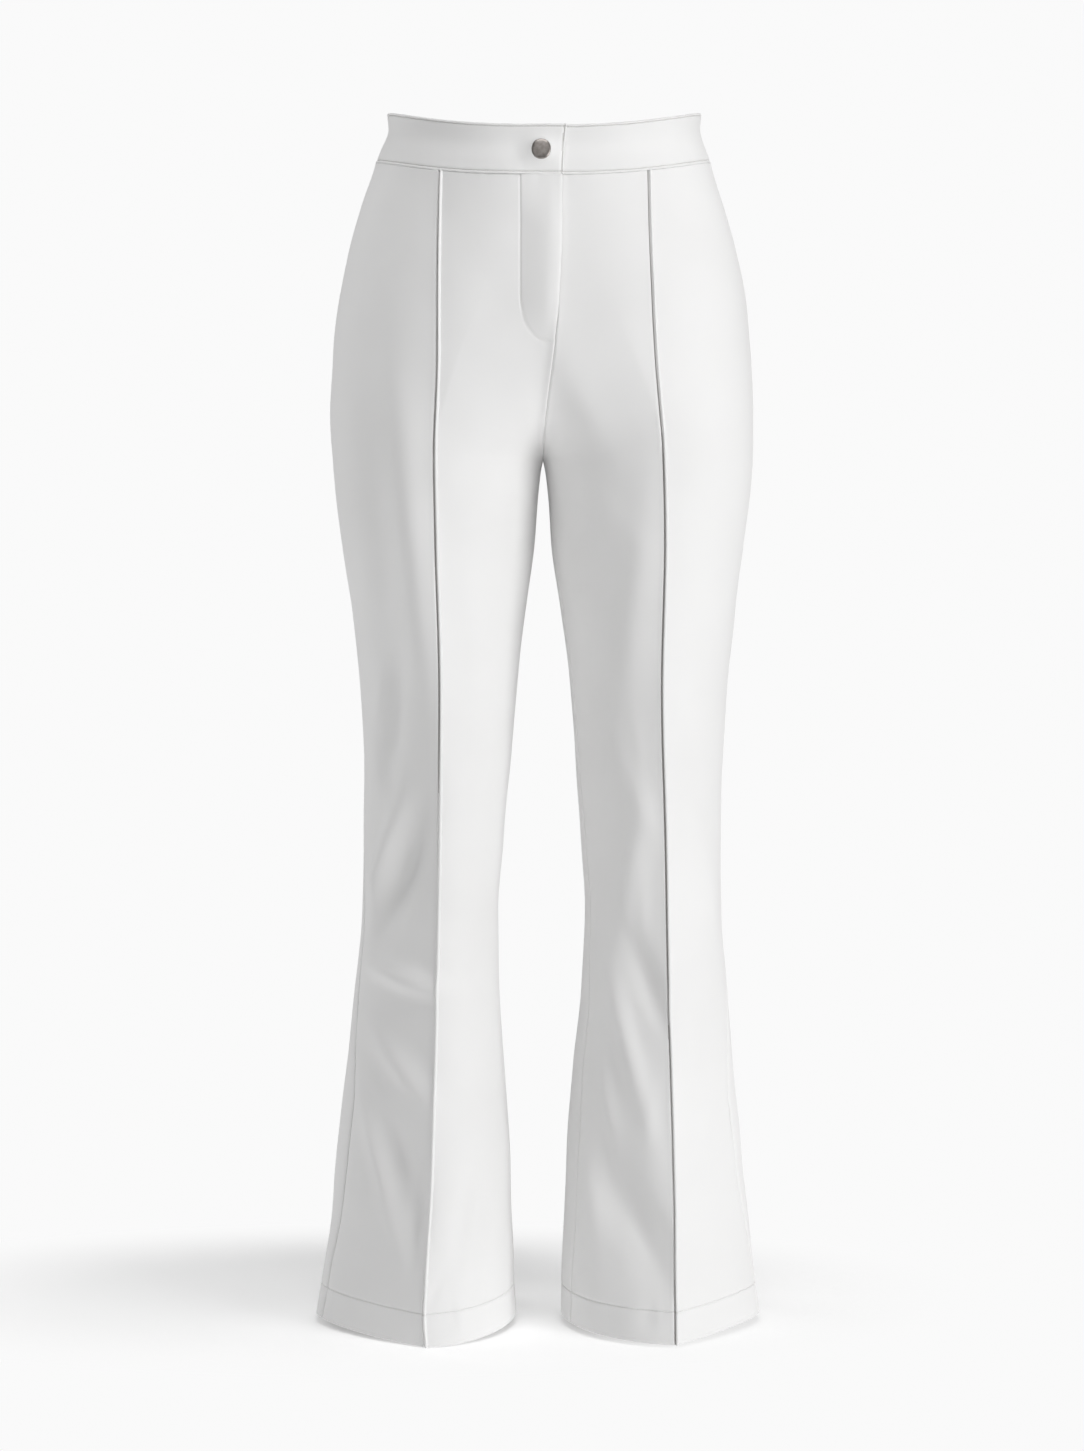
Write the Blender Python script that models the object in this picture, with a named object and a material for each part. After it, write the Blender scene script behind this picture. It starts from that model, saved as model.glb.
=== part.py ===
"""Flared softshell ski trousers, filled out with nobody in them.

Metres, +Z up.  The front faces -Y and the wearer's left is +X.  The origin is the centre
of the waist opening, halfway up the waistband.  Every piece is a cloth wall between an
outer and an inner surface, and both are read from one garment surface:

    height  the level of a row, before the waist and the hem dip at the front
    turn    the way round one half: 0 at the centre front or the inseam, a quarter turn at
            the side, half a turn at the centre back or the inseam again
    inset   the depth under the outer face of the cloth, so a negative inset stands proud
"""

import math

import bmesh
import bpy
import numpy as np

# Cloth and seams.
WALL = 0.0015
SEAM_GAP = 0.0003
BAND_SEAM_GAP = 0.0004
HEM_WALL = 0.0028
HEM_TURN_UP = 0.028
TURN_UP_STEP = 0.003
BAND_WALL = 0.0025
BAND_PROUD = 0.0006

# Levels of the cut.
BAND_TOP = 0.022
BAND_BEND_TOP = 0.008
BAND_BEND_LOW = -0.010
BAND_SEAM = -0.021
FORK = -0.286
HEM = -1.055

# How far the level lines dip or rise at the front and the back.
WAIST_FRONT_DIP = 0.025
WAIST_DIP_FORM = 1.6
WAIST_BACK_RISE = 0.005
WAIST_DIP_ENDS = -0.160
HEM_DIP = {"right": 0.0064, "left": 0.0044}
HEM_DIP_FORM = 1.5
HEM_DIP_STARTS = -0.950

# Where the columns of the cloth start to wrap round the inside of each leg.
WRAP_STARTS = -0.150
# Where the front and the back stand out most at the waist, as a share of the way from the
# middle to the pintuck or to the middle of the leg.
PEAK_AT_WAIST = 0.20
# How far from the middle line the valley between the two halves is rounded out.
MIDDLE_ROUND = 0.012
MIDDLE_ROUND_FULL = -0.240

# The pintuck down each front.
TUCK_HALF_WIDTH = 0.0018
TUCK_HEIGHT = 0.0020

# The fly: the right front lies over the left one, inside a curved row of topstitching.
FLY_WIDTH = 0.0355
FLY_RAMP = 0.0040
FLY_STRAIGHT_ENDS = -0.156
FLY_ENDS = -0.188
FLY_LIFT = WALL + SEAM_GAP
FLY_FADE_STARTS = -0.150
UNDERLAP_REACH = 0.016
UNDERLAP_END = -0.135

# The waistband's overlap at the front, either side of the centre.
LAP_REACH_TOP = 0.0198
LAP_REACH_SEAM = 0.0172
BAND_UNDERLAP_REACH = 0.027
LAP_MARGIN = 0.001
LAP_RAMP = 0.030
LAP_LIFT = BAND_WALL + SEAM_GAP

# The snap's cap.
SNAP_RADIUS = 0.0085
SNAP_RISE = 0.0024
SNAP_X = -0.0026
SNAP_HEIGHT = 0.0
SNAP_SIDES = 28
SNAP_COLUMNS = ("radius_share", "rise_share")
SNAP_PROFILE = (
    (0.55, 0.92),
    (0.88, 0.62),
    (1.00, 0.30),
    (1.00, 0.00),
)

# Colours from the photograph, as linear values.
WHITE_CLOTH = (0.83, 0.83, 0.82, 1.0)
PEWTER = (0.31, 0.28, 0.26, 1.0)
CLOTH_ROUGHNESS = 0.75
PEWTER_ROUGHNESS = 0.35
PEWTER_METALLIC = 0.9
SHARP_ANGLE = math.radians(40)

QUARTER = math.pi / 2
NEAR_EDGE = 0.004
LEAST_REACH = 1e-6
HALVINGS = 30
OTHER_LEG = {"right": "left", "left": "right"}
SIGN = {"right": -1.0, "left": 1.0}

# Outlines by height: the outer and the inner edge of each leg from the middle line, and how
# far the front and the back stand from it.  Above the fork an inner edge is under 0: it lies
# past the middle, where the two halves cut each other off, so the crotch seam runs under
# from front to back in a round curve.
SECTION_COLUMNS = ("height", "out_right", "out_left", "in_right", "in_left", "front", "back")
SECTION_ROWS = (
    (0.022, 0.138, 0.141, -3.5, -3.5, 0.095, 0.096),
    (0.008, 0.1395, 0.1425, -3.1, -3.1, 0.096, 0.0975),
    (-0.010, 0.1465, 0.1470, -2.6, -2.6, 0.100, 0.1025),
    (-0.021, 0.149, 0.149, -2.4, -2.4, 0.101, 0.104),
    (-0.060, 0.162, 0.161, -1.6, -1.6, 0.105, 0.113),
    (-0.100, 0.173, 0.172, -1.0, -1.0, 0.109, 0.121),
    (-0.150, 0.183, 0.182, -0.50, -0.50, 0.112, 0.127),
    (-0.200, 0.188, 0.186, -0.20, -0.20, 0.113, 0.127),
    (-0.240, 0.190, 0.188, -0.060, -0.060, 0.112, 0.122),
    (-0.286, 0.188, 0.187, 0.0002, 0.0002, 0.109, 0.114),
    (-0.310, 0.186, 0.186, 0.0036, 0.0038, 0.107, 0.109),
    (-0.360, 0.180, 0.179, 0.0078, 0.0078, 0.103, 0.102),
    (-0.420, 0.171, 0.172, 0.0160, 0.0160, 0.100, 0.097),
    (-0.480, 0.165, 0.166, 0.0228, 0.0237, 0.094, 0.090),
    (-0.550, 0.161, 0.162, 0.0285, 0.0290, 0.086, 0.082),
    (-0.620, 0.161, 0.160, 0.0352, 0.0340, 0.080, 0.077),
    (-0.690, 0.163, 0.161, 0.0405, 0.0378, 0.077, 0.077),
    (-0.760, 0.170, 0.166, 0.0396, 0.0345, 0.078, 0.080),
    (-0.830, 0.178, 0.172, 0.0350, 0.0268, 0.081, 0.084),
    (-0.900, 0.186, 0.179, 0.0300, 0.0216, 0.085, 0.088),
    (-0.970, 0.192, 0.186, 0.0280, 0.0190, 0.090, 0.092),
    (-1.020, 0.200, 0.192, 0.0262, 0.0165, 0.093, 0.095),
    (-1.055, 0.206, 0.197, 0.0238, 0.0163, 0.095, 0.097),
)

# The pintuck's place by height, and how sharply each front bends at it, on its outer side
# and towards the inseam: 0 is round and 1 is two flat flanks.
TUCK_COLUMNS = ("height", "tuck_right", "tuck_left", "crest_right", "crest_left", "crest_in")
TUCK_ROWS = (
    (0.022, 0.087, 0.091, 0.00, 0.00, 0.00),
    (-0.100, 0.089, 0.093, 0.00, 0.00, 0.00),
    (-0.200, 0.089, 0.097, 0.08, 0.08, 0.05),
    (-0.286, 0.092, 0.104, 0.15, 0.15, 0.10),
    (-0.360, 0.091, 0.106, 0.22, 0.22, 0.14),
    (-0.480, 0.088, 0.104, 0.32, 0.32, 0.18),
    (-0.620, 0.090, 0.108, 0.42, 0.42, 0.20),
    (-0.760, 0.093, 0.111, 0.50, 0.50, 0.20),
    (-0.900, 0.096, 0.115, 0.56, 0.60, 0.18),
    (-1.000, 0.100, 0.117, 0.54, 0.66, 0.14),
    (-1.029, 0.1013, 0.117, 0.52, 0.67, 0.12),
    (-1.055, 0.0985, 0.117, 0.50, 0.68, 0.10),
)

# The seams by height: where the right front's edge crosses the middle, and how far round the
# leg the side seam and the inseams lie to the front of its outer and inner edges.
SEAM_COLUMNS = (
    "height", "front_edge", "side_right", "side_left", "inseam_right", "inseam_left")
SEAM_ROWS = (
    (0.022, 0.0165, 0.000, 0.000, 0.000, 0.000),
    (-0.090, 0.0157, 0.000, 0.000, 0.000, 0.000),
    (-0.150, 0.0135, 0.000, 0.000, 0.000, 0.000),
    (-0.188, 0.0103, 0.000, 0.000, 0.000, 0.000),
    (-0.286, 0.0000, 0.000, 0.000, 0.000, 0.000),
    (-0.300, 0.0000, 0.000, 0.000, 0.000, 0.000),
    (-0.380, 0.0000, 0.000, 0.000, 0.003, 0.016),
    (-0.600, 0.0000, 0.005, 0.000, 0.004, 0.020),
    (-0.690, 0.0000, 0.015, 0.002, 0.004, 0.022),
    (-0.760, 0.0000, 0.020, 0.009, 0.004, 0.026),
    (-0.800, 0.0000, 0.024, 0.019, 0.004, 0.028),
    (-0.860, 0.0000, 0.033, 0.028, 0.004, 0.031),
    (-0.910, 0.0000, 0.033, 0.026, 0.004, 0.033),
    (-0.950, 0.0000, 0.031, 0.023, 0.004, 0.034),
    (-1.005, 0.0000, 0.026, 0.010, 0.004, 0.034),
    (-1.055, 0.0000, 0.025, 0.004, 0.004, 0.034),
)

# How far past the middle of its depth a fold's face starts, and where it has its full height.
FOLD_FACE_STARTS = 0.010
FOLD_FACE_FULL = 0.035

# The largest soft folds: their middle as seen from the front, how far they lean from the
# vertical (degrees, the lower end outwards from the middle of the garment), half length,
# half width and height.  A negative height is a trough.
FOLD_COLUMNS = ("leg", "face", "across", "height", "lean", "length", "width", "rise")
FOLDS = (
    ("right", "front", 0.142, -0.516, -5, 0.048, 0.012, 0.0022),
    ("right", "front", 0.128, -0.635, 22, 0.050, 0.012, 0.0028),
    ("right", "front", 0.104, -0.665, 29, 0.040, 0.012, -0.0028),
    ("right", "front", 0.122, -0.560, -48, 0.024, 0.011, -0.0020),
    ("right", "front", 0.118, -0.754, -42, 0.034, 0.013, -0.0030),
    ("right", "front", 0.124, -0.806, -36, 0.036, 0.013, 0.0028),
    ("right", "front", 0.156, -0.873, 10, 0.030, 0.013, -0.0030),
    ("right", "front", 0.144, -0.906, -11, 0.036, 0.011, 0.0026),
    ("right", "front", 0.120, -0.912, 16, 0.030, 0.012, -0.0026),
    ("right", "front", 0.074, -0.976, 0, 0.034, 0.011, 0.0020),
    ("left", "front", 0.050, -0.489, 17, 0.085, 0.015, -0.0036),
    ("left", "front", 0.076, -0.613, -5, 0.052, 0.013, -0.0028),
    ("left", "front", 0.090, -0.613, 0, 0.052, 0.010, 0.0026),
    ("left", "front", 0.138, -0.644, 17, 0.045, 0.012, 0.0020),
    ("left", "front", 0.060, -0.751, 6, 0.032, 0.013, -0.0028),
    ("left", "front", 0.082, -0.742, 0, 0.034, 0.011, 0.0026),
    ("left", "front", 0.072, -0.858, 8, 0.034, 0.013, -0.0024),
    ("left", "front", 0.048, -0.926, 8, 0.034, 0.012, 0.0024),
    ("left", "front", 0.094, -0.950, 24, 0.030, 0.012, -0.0024),
    ("left", "front", 0.066, -0.999, 10, 0.026, 0.012, 0.0022),
    ("left", "front", 0.034, -0.272, 47, 0.042, 0.013, -0.0034),
    ("right", "back", 0.070, -0.330, 70, 0.050, 0.014, -0.0036),
    ("right", "back", 0.105, -0.372, 62, 0.040, 0.014, 0.0024),
    ("right", "back", 0.090, -0.575, 72, 0.044, 0.013, -0.0030),
    ("right", "back", 0.100, -0.622, -66, 0.042, 0.013, 0.0026),
    ("right", "back", 0.124, -0.812, -20, 0.046, 0.014, -0.0028),
    ("right", "back", 0.086, -0.920, 12, 0.046, 0.014, 0.0026),
    ("left", "back", 0.078, -0.338, 66, 0.052, 0.014, -0.0034),
    ("left", "back", 0.108, -0.380, 60, 0.038, 0.014, 0.0024),
    ("left", "back", 0.086, -0.592, 68, 0.046, 0.013, -0.0030),
    ("left", "back", 0.104, -0.640, -60, 0.038, 0.013, 0.0024),
    ("left", "back", 0.116, -0.836, -16, 0.044, 0.014, -0.0026),
    ("left", "back", 0.080, -0.944, 14, 0.044, 0.014, 0.0024),
)

# Rows of the panels, as levels: fine round the fly and the fork, then even down the legs.
PANEL_TOP = BAND_SEAM - BAND_SEAM_GAP
TRUNK_LEVELS = (-0.045, -0.070, -0.095, -0.117, -0.135, -0.150, -0.166, -0.180, -0.195,
                -0.215, -0.235, -0.252, -0.266, -0.276, -0.282, -0.285, FORK)
BELOW_FORK_LEVELS = (-0.290, -0.300, -0.320, -0.345)
LEG_ROWS = 23

# Columns of the panels, as shares of the way between two seams or folds.
FRONT_INNER_SHARES = (0.0, 0.085, 0.170, 0.255, 0.34, 0.385, 0.53, 0.68, 0.84)
FRONT_OUTER_SHARES = (0.16, 0.32, 0.48, 0.64, 0.82, 1.0)
BACK_COLUMNS = 15
BAND_COLUMNS = 22
LAP_RAMP_SHARES = (0.25, 0.5, 0.75)
UNDERLAP_COLUMNS = 4


class Table:
    """Sizes by height, read between the rows along smooth curves that never overshoot."""

    def __init__(self, columns, rows):
        ordered = np.array(sorted(rows))
        self.heights = ordered[:, 0]
        self.values = {name: ordered[:, i] for i, name in enumerate(columns)}
        self.slopes = {name: self.find_slopes(self.values[name]) for name in columns}

    def find_slopes(self, values):
        steps = np.diff(values) / np.diff(self.heights)
        product = steps[:-1] * steps[1:]
        total = np.where(product > 0, steps[:-1] + steps[1:], 1.0)
        inner = np.where(product > 0, 2 * product / total, 0.0)
        return np.concatenate(([steps[0]], inner, [steps[-1]]))

    def read(self, name, height):
        height = np.clip(height, self.heights[0], self.heights[-1])
        low = np.clip(np.searchsorted(self.heights, height) - 1, 0, len(self.heights) - 2)
        span = self.heights[low + 1] - self.heights[low]
        t = (height - self.heights[low]) / span
        value = self.values[name]
        slope = self.slopes[name]
        start = value[low] * (1 + 2 * t) * (1 - t) ** 2 + slope[low] * span * t * (1 - t) ** 2
        end = value[low + 1] * t * t * (3 - 2 * t) + slope[low + 1] * span * t * t * (t - 1)
        return start + end


SECTIONS = Table(SECTION_COLUMNS, SECTION_ROWS)
TUCKS = Table(TUCK_COLUMNS, TUCK_ROWS)
SEAMS = Table(SEAM_COLUMNS, SEAM_ROWS)


def ease(value, start, end):
    """Rises smoothly from 0 at start to 1 at end, whichever way they lie."""
    t = np.clip((value - start) / (end - start), 0.0, 1.0)
    return t * t * (3 - 2 * t)


# ---------------------------------------------------------------- the garment's surface

def flank(distance, crest):
    """Depth of the front or back, 1 at its crest and 0 at the edge a distance of 1 away."""
    distance = np.clip(distance, 0.0, 1.0)
    return (1 - crest) * np.sqrt(1 - distance ** 2) + crest * (1 - distance)


def lobe(turn, inner, outer, peak, depth, wrap, rounding, crest_in, crest_out):
    """The front or the back of one half, from the middle line or inseam to the side.

    It is two quarter ellipses that meet at the peak, flattened towards it by the crests, and
    cut off at the middle line, where the rounding takes out the kink.  The turn is shared out between them by about their lengths,
    with the inner one's depth counted by its wrap."""
    start = np.maximum(inner, 0.0)
    cut = np.arccos(np.clip((peak - start) / (peak - inner), -1.0, 1.0))
    inner_length = np.hypot(peak - start, depth * wrap)
    outer_length = np.hypot(outer - peak, depth)
    peak_turn = QUARTER * inner_length / (inner_length + outer_length)
    inwards = turn < peak_turn
    inner_angle = cut + (QUARTER - cut) * turn / peak_turn
    outer_angle = QUARTER * (turn - peak_turn) / (QUARTER - peak_turn)
    distance = np.where(inwards, np.cos(inner_angle), np.sin(outer_angle))
    x = peak + np.where(inwards, inner - peak, outer - peak) * distance
    rounding = rounding * np.sqrt(np.clip(1 - (x / peak) ** 2, 0.0, 1.0))
    distance = np.where(inwards, (peak - np.hypot(x, rounding)) / (peak - inner), distance)
    share = flank(distance, np.where(inwards, crest_in, crest_out))
    return x, share


def half_surface(leg, height, turn, inset):
    """Points of one half of the garment, before its folds."""
    height, turn, inset = np.broadcast_arrays(height, turn, inset)
    outer = SECTIONS.read("out_" + leg, height) - inset
    inner = SECTIONS.read("in_" + leg, height) + inset
    front = SECTIONS.read("front", height) - inset
    back = SECTIONS.read("back", height) - inset
    at_front = (turn < QUARTER) | (turn > math.pi)
    front_turn = np.where(turn > math.pi, turn - math.pi, np.minimum(turn, QUARTER))
    back_turn = np.clip(math.pi - turn, 0.0, QUARTER)
    wrap = ease(height, WRAP_STARTS, FORK)
    spread = PEAK_AT_WAIST + (1 - PEAK_AT_WAIST) * ease(height, BAND_SEAM, FORK)
    front_peak = spread * TUCKS.read("tuck_" + leg, height)
    back_peak = spread * (outer + np.maximum(inner, 0.0)) / 2
    rounding = MIDDLE_ROUND * ease(height, FORK, MIDDLE_ROUND_FULL)
    crest_in = TUCKS.read("crest_in", height)
    crest_out = TUCKS.read("crest_" + leg, height)
    front_x, front_share = lobe(
        front_turn, inner, outer, front_peak, front, wrap, rounding, crest_in, crest_out)
    back_x, back_share = lobe(
        back_turn, inner, outer, back_peak, back, wrap, rounding, 0.0, 0.0)
    x = np.where(at_front, front_x, back_x)
    share = np.where(at_front, front_share, back_share)
    y = np.where(at_front, -front, back) * share
    waist = ease(height, WAIST_DIP_ENDS, BAND_SEAM)
    waist_swing = np.where(at_front, -WAIST_FRONT_DIP, WAIST_BACK_RISE)
    waist_dip = waist_swing * share ** WAIST_DIP_FORM * waist
    hem_dip = -HEM_DIP[leg] * share ** HEM_DIP_FORM * ease(height, HEM_DIP_STARTS, HEM)
    z = height + waist_dip + hem_dip
    return np.stack([SIGN[leg] * x, y, z], axis=-1)


def bare_surface(leg, height, turn, inset):
    """The garment before its folds: a turn under 0 reaches over the other half."""
    height, turn, inset = np.broadcast_arrays(height, turn, inset)
    own = half_surface(leg, height, np.abs(turn), inset)
    other = half_surface(OTHER_LEG[leg], height, np.abs(turn), inset)
    return np.where((turn < 0)[..., None], other, own)


def way_round(leg, height, turn):
    """The level direction along the section, and how far one radian of turn reaches."""
    ahead = bare_surface(leg, height, turn + NEAR_EDGE, 0.0)
    behind = bare_surface(leg, height, turn - NEAR_EDGE, 0.0)
    along = (ahead - behind)[..., :2] / (2 * NEAR_EDGE)
    reach = np.maximum(np.linalg.norm(along, axis=-1), LEAST_REACH)
    return along / reach[..., None], reach


def fold_rise(points):
    """How far the folds lift the cloth at each point."""
    x, y, z = points[..., 0], points[..., 1], points[..., 2]
    rise = np.zeros(x.shape)
    for row in FOLDS:
        fold = dict(zip(FOLD_COLUMNS, row))
        sign = SIGN[fold["leg"]]
        side = -1.0 if fold["face"] == "front" else 1.0
        facing = ease(side * y, FOLD_FACE_STARTS, FOLD_FACE_FULL)
        lean = math.radians(fold["lean"])
        across = sign * x - fold["across"]
        down = fold["height"] - z
        along = across * math.sin(lean) + down * math.cos(lean)
        aside = across * math.cos(lean) - down * math.sin(lean)
        form = np.exp(-(along / fold["length"]) ** 2 - (aside / fold["width"]) ** 2)
        rise += np.where(sign * x > 0, fold["rise"] * facing * form, 0.0)
    return rise


def surface(leg, height, turn, inset):
    """Points of the garment with its folds."""
    height, turn, inset = np.broadcast_arrays(height, turn, inset)
    points = bare_surface(leg, height, turn, inset).copy()
    along, _ = way_round(leg, height, turn)
    rise = fold_rise(bare_surface(leg, height, turn, 0.0))
    points[..., 0] += SIGN[leg] * rise * along[..., 1]
    points[..., 1] -= SIGN[leg] * rise * along[..., 0]
    return points


def turn_at(leg, height, across):
    """The turn at which the front of the garment lies so far across, on the leg's side.

    Across is measured from the middle line and is under 0 on the other half."""
    low = np.zeros(np.shape(height))
    high = np.full(np.shape(height), QUARTER)
    crossing = np.broadcast_to(across < 0, np.shape(height))
    for _ in range(HALVINGS):
        turn = (low + high) / 2
        own = np.abs(half_surface(leg, height, turn, 0.0)[..., 0])
        other = np.abs(half_surface(OTHER_LEG[leg], height, turn, 0.0)[..., 0])
        short = np.where(crossing, other, own) < np.abs(across)
        low = np.where(short, turn, low)
        high = np.where(short, high, turn)
    return np.where(crossing, -low, low)


# ---------------------------------------------------------------- seams and laps

def fly_lift(height, across):
    """How far the right front stands off over the layers of the fly."""
    edge = SEAMS.read("front_edge", height)
    drop = np.clip((FLY_STRAIGHT_ENDS - height) / (FLY_STRAIGHT_ENDS - FLY_ENDS), 0.0, 1.0)
    width = FLY_WIDTH * np.sqrt(1 - drop ** 2)
    inside = ease(edge - across, width + FLY_RAMP, width)
    return FLY_LIFT * inside * ease(height, FLY_ENDS, FLY_FADE_STARTS)


def front_edge_turn(leg, levels):
    """Where a front panel's centre edge runs."""
    edge = SEAMS.read("front_edge", levels)
    if leg == "right":
        return turn_at("right", levels, -edge)
    under_fly = levels >= UNDERLAP_END
    return turn_at("left", levels, np.where(under_fly, 0.0, edge))


def shifted(leg, levels, turn, arc):
    """The turn that lies so far round the garment from a turn."""
    _, reach = way_round(leg, levels, turn)
    return turn + arc / reach


def side_seam(leg, levels):
    to_front = SEAMS.read("side_" + leg, levels)
    return shifted(leg, levels, np.full(levels.shape, QUARTER), -to_front)


def inseam(leg, levels):
    """How far the inseam has turned to the front."""
    start = np.full(levels.shape, NEAR_EDGE)
    return shifted(leg, levels, start, SEAMS.read("inseam_" + leg, levels)) - NEAR_EDGE


def front_turns(leg, levels):
    """The turn of every column of a front panel, row by row."""
    edge = front_edge_turn(leg, levels) + inseam(leg, levels)
    start = shifted(leg, levels, edge, SEAM_GAP / 2)
    tuck = turn_at(leg, levels, TUCKS.read("tuck_" + leg, levels))
    tuck_start = shifted(leg, levels, tuck, -TUCK_HALF_WIDTH)
    tuck_end = shifted(leg, levels, tuck, TUCK_HALF_WIDTH)
    end = shifted(leg, levels, side_seam(leg, levels), -SEAM_GAP / 2)
    before = start + np.outer(FRONT_INNER_SHARES, tuck_start - start)
    after = tuck_end + np.outer(FRONT_OUTER_SHARES, end - tuck_end)
    ridge = np.stack([tuck_start, tuck, tuck_end])
    return np.concatenate([before, ridge, after]).T


def back_turns(leg, levels):
    """The turn of every column of a back panel, row by row."""
    start = shifted(leg, levels, side_seam(leg, levels), SEAM_GAP / 2)
    middle = math.pi + inseam(leg, levels)
    end = shifted(leg, levels, middle, -SEAM_GAP / 2)
    shares = np.linspace(0, 1, BACK_COLUMNS)
    return (start + np.outer(shares, end - start)).T


def panel_levels():
    """The rows of a leg panel from the waistband to the hem."""
    turn_up = HEM + HEM_TURN_UP
    start = BELOW_FORK_LEVELS[-1]
    leg_levels = np.linspace(start, turn_up + TURN_UP_STEP / 2, LEG_ROWS + 1)[1:]
    hem_levels = (turn_up - TURN_UP_STEP / 2, HEM)
    return np.concatenate([(PANEL_TOP,), TRUNK_LEVELS, BELOW_FORK_LEVELS, leg_levels, hem_levels])


# ---------------------------------------------------------------- solids

def cloth_material(name, colour, roughness, metallic=0.0):
    material = bpy.data.materials.new(name)
    material.use_nodes = True
    shader = material.node_tree.nodes["Principled BSDF"]
    shader.inputs["Base Color"].default_value = colour
    shader.inputs["Roughness"].default_value = roughness
    shader.inputs["Metallic"].default_value = metallic
    return material


def finish(name, bm, colour=WHITE_CLOTH, roughness=CLOTH_ROUGHNESS, metallic=0.0):
    """Turns a closed mesh into a named object with its material."""
    bmesh.ops.recalc_face_normals(bm, faces=bm.faces)
    mesh = bpy.data.meshes.new(name)
    bm.to_mesh(mesh)
    bm.free()
    mesh.shade_smooth()
    mesh.set_sharp_from_angle(angle=SHARP_ANGLE)
    mesh.materials.append(cloth_material(name, colour, roughness, metallic))
    thing = bpy.data.objects.new(name, mesh)
    bpy.context.scene.collection.objects.link(thing)
    return thing


def wall(name, outer, inner):
    """A closed cloth wall between two equal grids of points."""
    rows, columns = outer.shape[:2]
    bm = bmesh.new()
    skins = []
    for grid in (outer, inner):
        skins.append([[bm.verts.new(point) for point in row] for row in grid])
    face, lining = skins
    for r in range(rows - 1):
        for c in range(columns - 1):
            bm.faces.new((face[r][c], face[r][c + 1], face[r + 1][c + 1], face[r + 1][c]))
            bm.faces.new((lining[r][c], lining[r + 1][c], lining[r + 1][c + 1], lining[r][c + 1]))
    rim = [(0, c) for c in range(columns)]
    rim += [(r, columns - 1) for r in range(1, rows)]
    rim += [(rows - 1, c) for c in range(columns - 2, -1, -1)]
    rim += [(r, 0) for r in range(rows - 2, 0, -1)]
    for (r, c), (next_r, next_c) in zip(rim, rim[1:] + rim[:1]):
        bm.faces.new((face[r][c], lining[r][c], lining[next_r][next_c], face[next_r][next_c]))
    return finish(name, bm)


def front_panel(leg):
    """A front leg with its pintuck, and the fly's lap on the right one."""
    levels = panel_levels()
    turns = front_turns(leg, levels)
    heights = np.broadcast_to(levels[:, None], turns.shape)
    ridge = np.zeros(turns.shape)
    ridge[:, len(FRONT_INNER_SHARES) + 1] = TUCK_HEIGHT
    lift = np.zeros(turns.shape)
    if leg == "right":
        across = bare_surface(leg, heights, turns, 0.0)[..., 0]
        lift = fly_lift(heights, across)
    thickness = np.where(heights < HEM + HEM_TURN_UP, HEM_WALL, WALL)
    outer = surface(leg, heights, turns, -lift - ridge)
    inner = surface(leg, heights, turns, thickness - lift)
    return wall("front_" + leg, outer, inner)


def back_panel(leg):
    """A back leg, from the side seam round to the centre back and the inseam."""
    levels = panel_levels()
    turns = back_turns(leg, levels)
    heights = np.broadcast_to(levels[:, None], turns.shape)
    thickness = np.where(heights < HEM + HEM_TURN_UP, HEM_WALL, WALL)
    outer = surface(leg, heights, turns, 0.0)
    inner = surface(leg, heights, turns, thickness)
    return wall("back_" + leg, outer, inner)


def fly_underlap():
    """The strip behind the fly, edge to edge with the left front."""
    levels = np.array([PANEL_TOP] + [level for level in TRUNK_LEVELS if level >= UNDERLAP_END])
    columns = []
    for share in np.linspace(0, 1, UNDERLAP_COLUMNS):
        across = share * UNDERLAP_REACH + SEAM_GAP / 2
        columns.append(turn_at("right", levels, across))
    turns = np.stack(columns, axis=1)
    heights = np.broadcast_to(levels[:, None], turns.shape)
    outer = surface("right", heights, turns, 0.0)
    inner = surface("right", heights, turns, WALL)
    return wall("fly_underlap", outer, inner)


def waistband(leg):
    """Half of the shaped waistband: the right half laps over the left one at the front."""
    levels = np.array([BAND_SEAM, BAND_BEND_LOW, BAND_BEND_TOP, BAND_TOP])
    past_underlap = BAND_UNDERLAP_REACH + LAP_MARGIN
    if leg == "right":
        share = (levels - BAND_SEAM) / (BAND_TOP - BAND_SEAM)
        reach = LAP_REACH_SEAM + (LAP_REACH_TOP - LAP_REACH_SEAM) * share
        marks = (0.5, 0.0, -0.5, -1.0)
        flat = [turn_at(leg, levels, -reach)]
        flat += [turn_at(leg, levels, -mark * BAND_UNDERLAP_REACH) for mark in marks]
        flat.append(turn_at(leg, levels, np.full(levels.shape, past_underlap)))
    else:
        shares = (-1.0, -0.5, 0.0, 0.5, 1.0)
        reach = np.full(levels.shape, BAND_UNDERLAP_REACH)
        flat = [turn_at(leg, levels, share * reach) for share in shares]
    start = turn_at(leg, levels, np.full(levels.shape, past_underlap + LAP_RAMP))
    if leg == "right":
        flat += [flat[-1] + (start - flat[-1]) * share for share in LAP_RAMP_SHARES]
    end = shifted(leg, levels, np.full(levels.shape, math.pi), -SEAM_GAP / 2)
    round_to_back = start + np.outer(np.linspace(0, 1, BAND_COLUMNS), end - start)
    turns = np.concatenate([np.stack(flat), round_to_back]).T
    heights = np.broadcast_to(levels[:, None], turns.shape)
    lift = np.zeros(turns.shape)
    if leg == "right":
        across = bare_surface(leg, heights, turns, 0.0)[..., 0]
        lift = LAP_LIFT * ease(across, -past_underlap - LAP_RAMP, -past_underlap)
    outer = surface(leg, heights, turns, -BAND_PROUD - lift)
    inner = surface(leg, heights, turns, BAND_WALL - BAND_PROUD - lift)
    return wall("waistband_" + leg, outer, inner)


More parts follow.
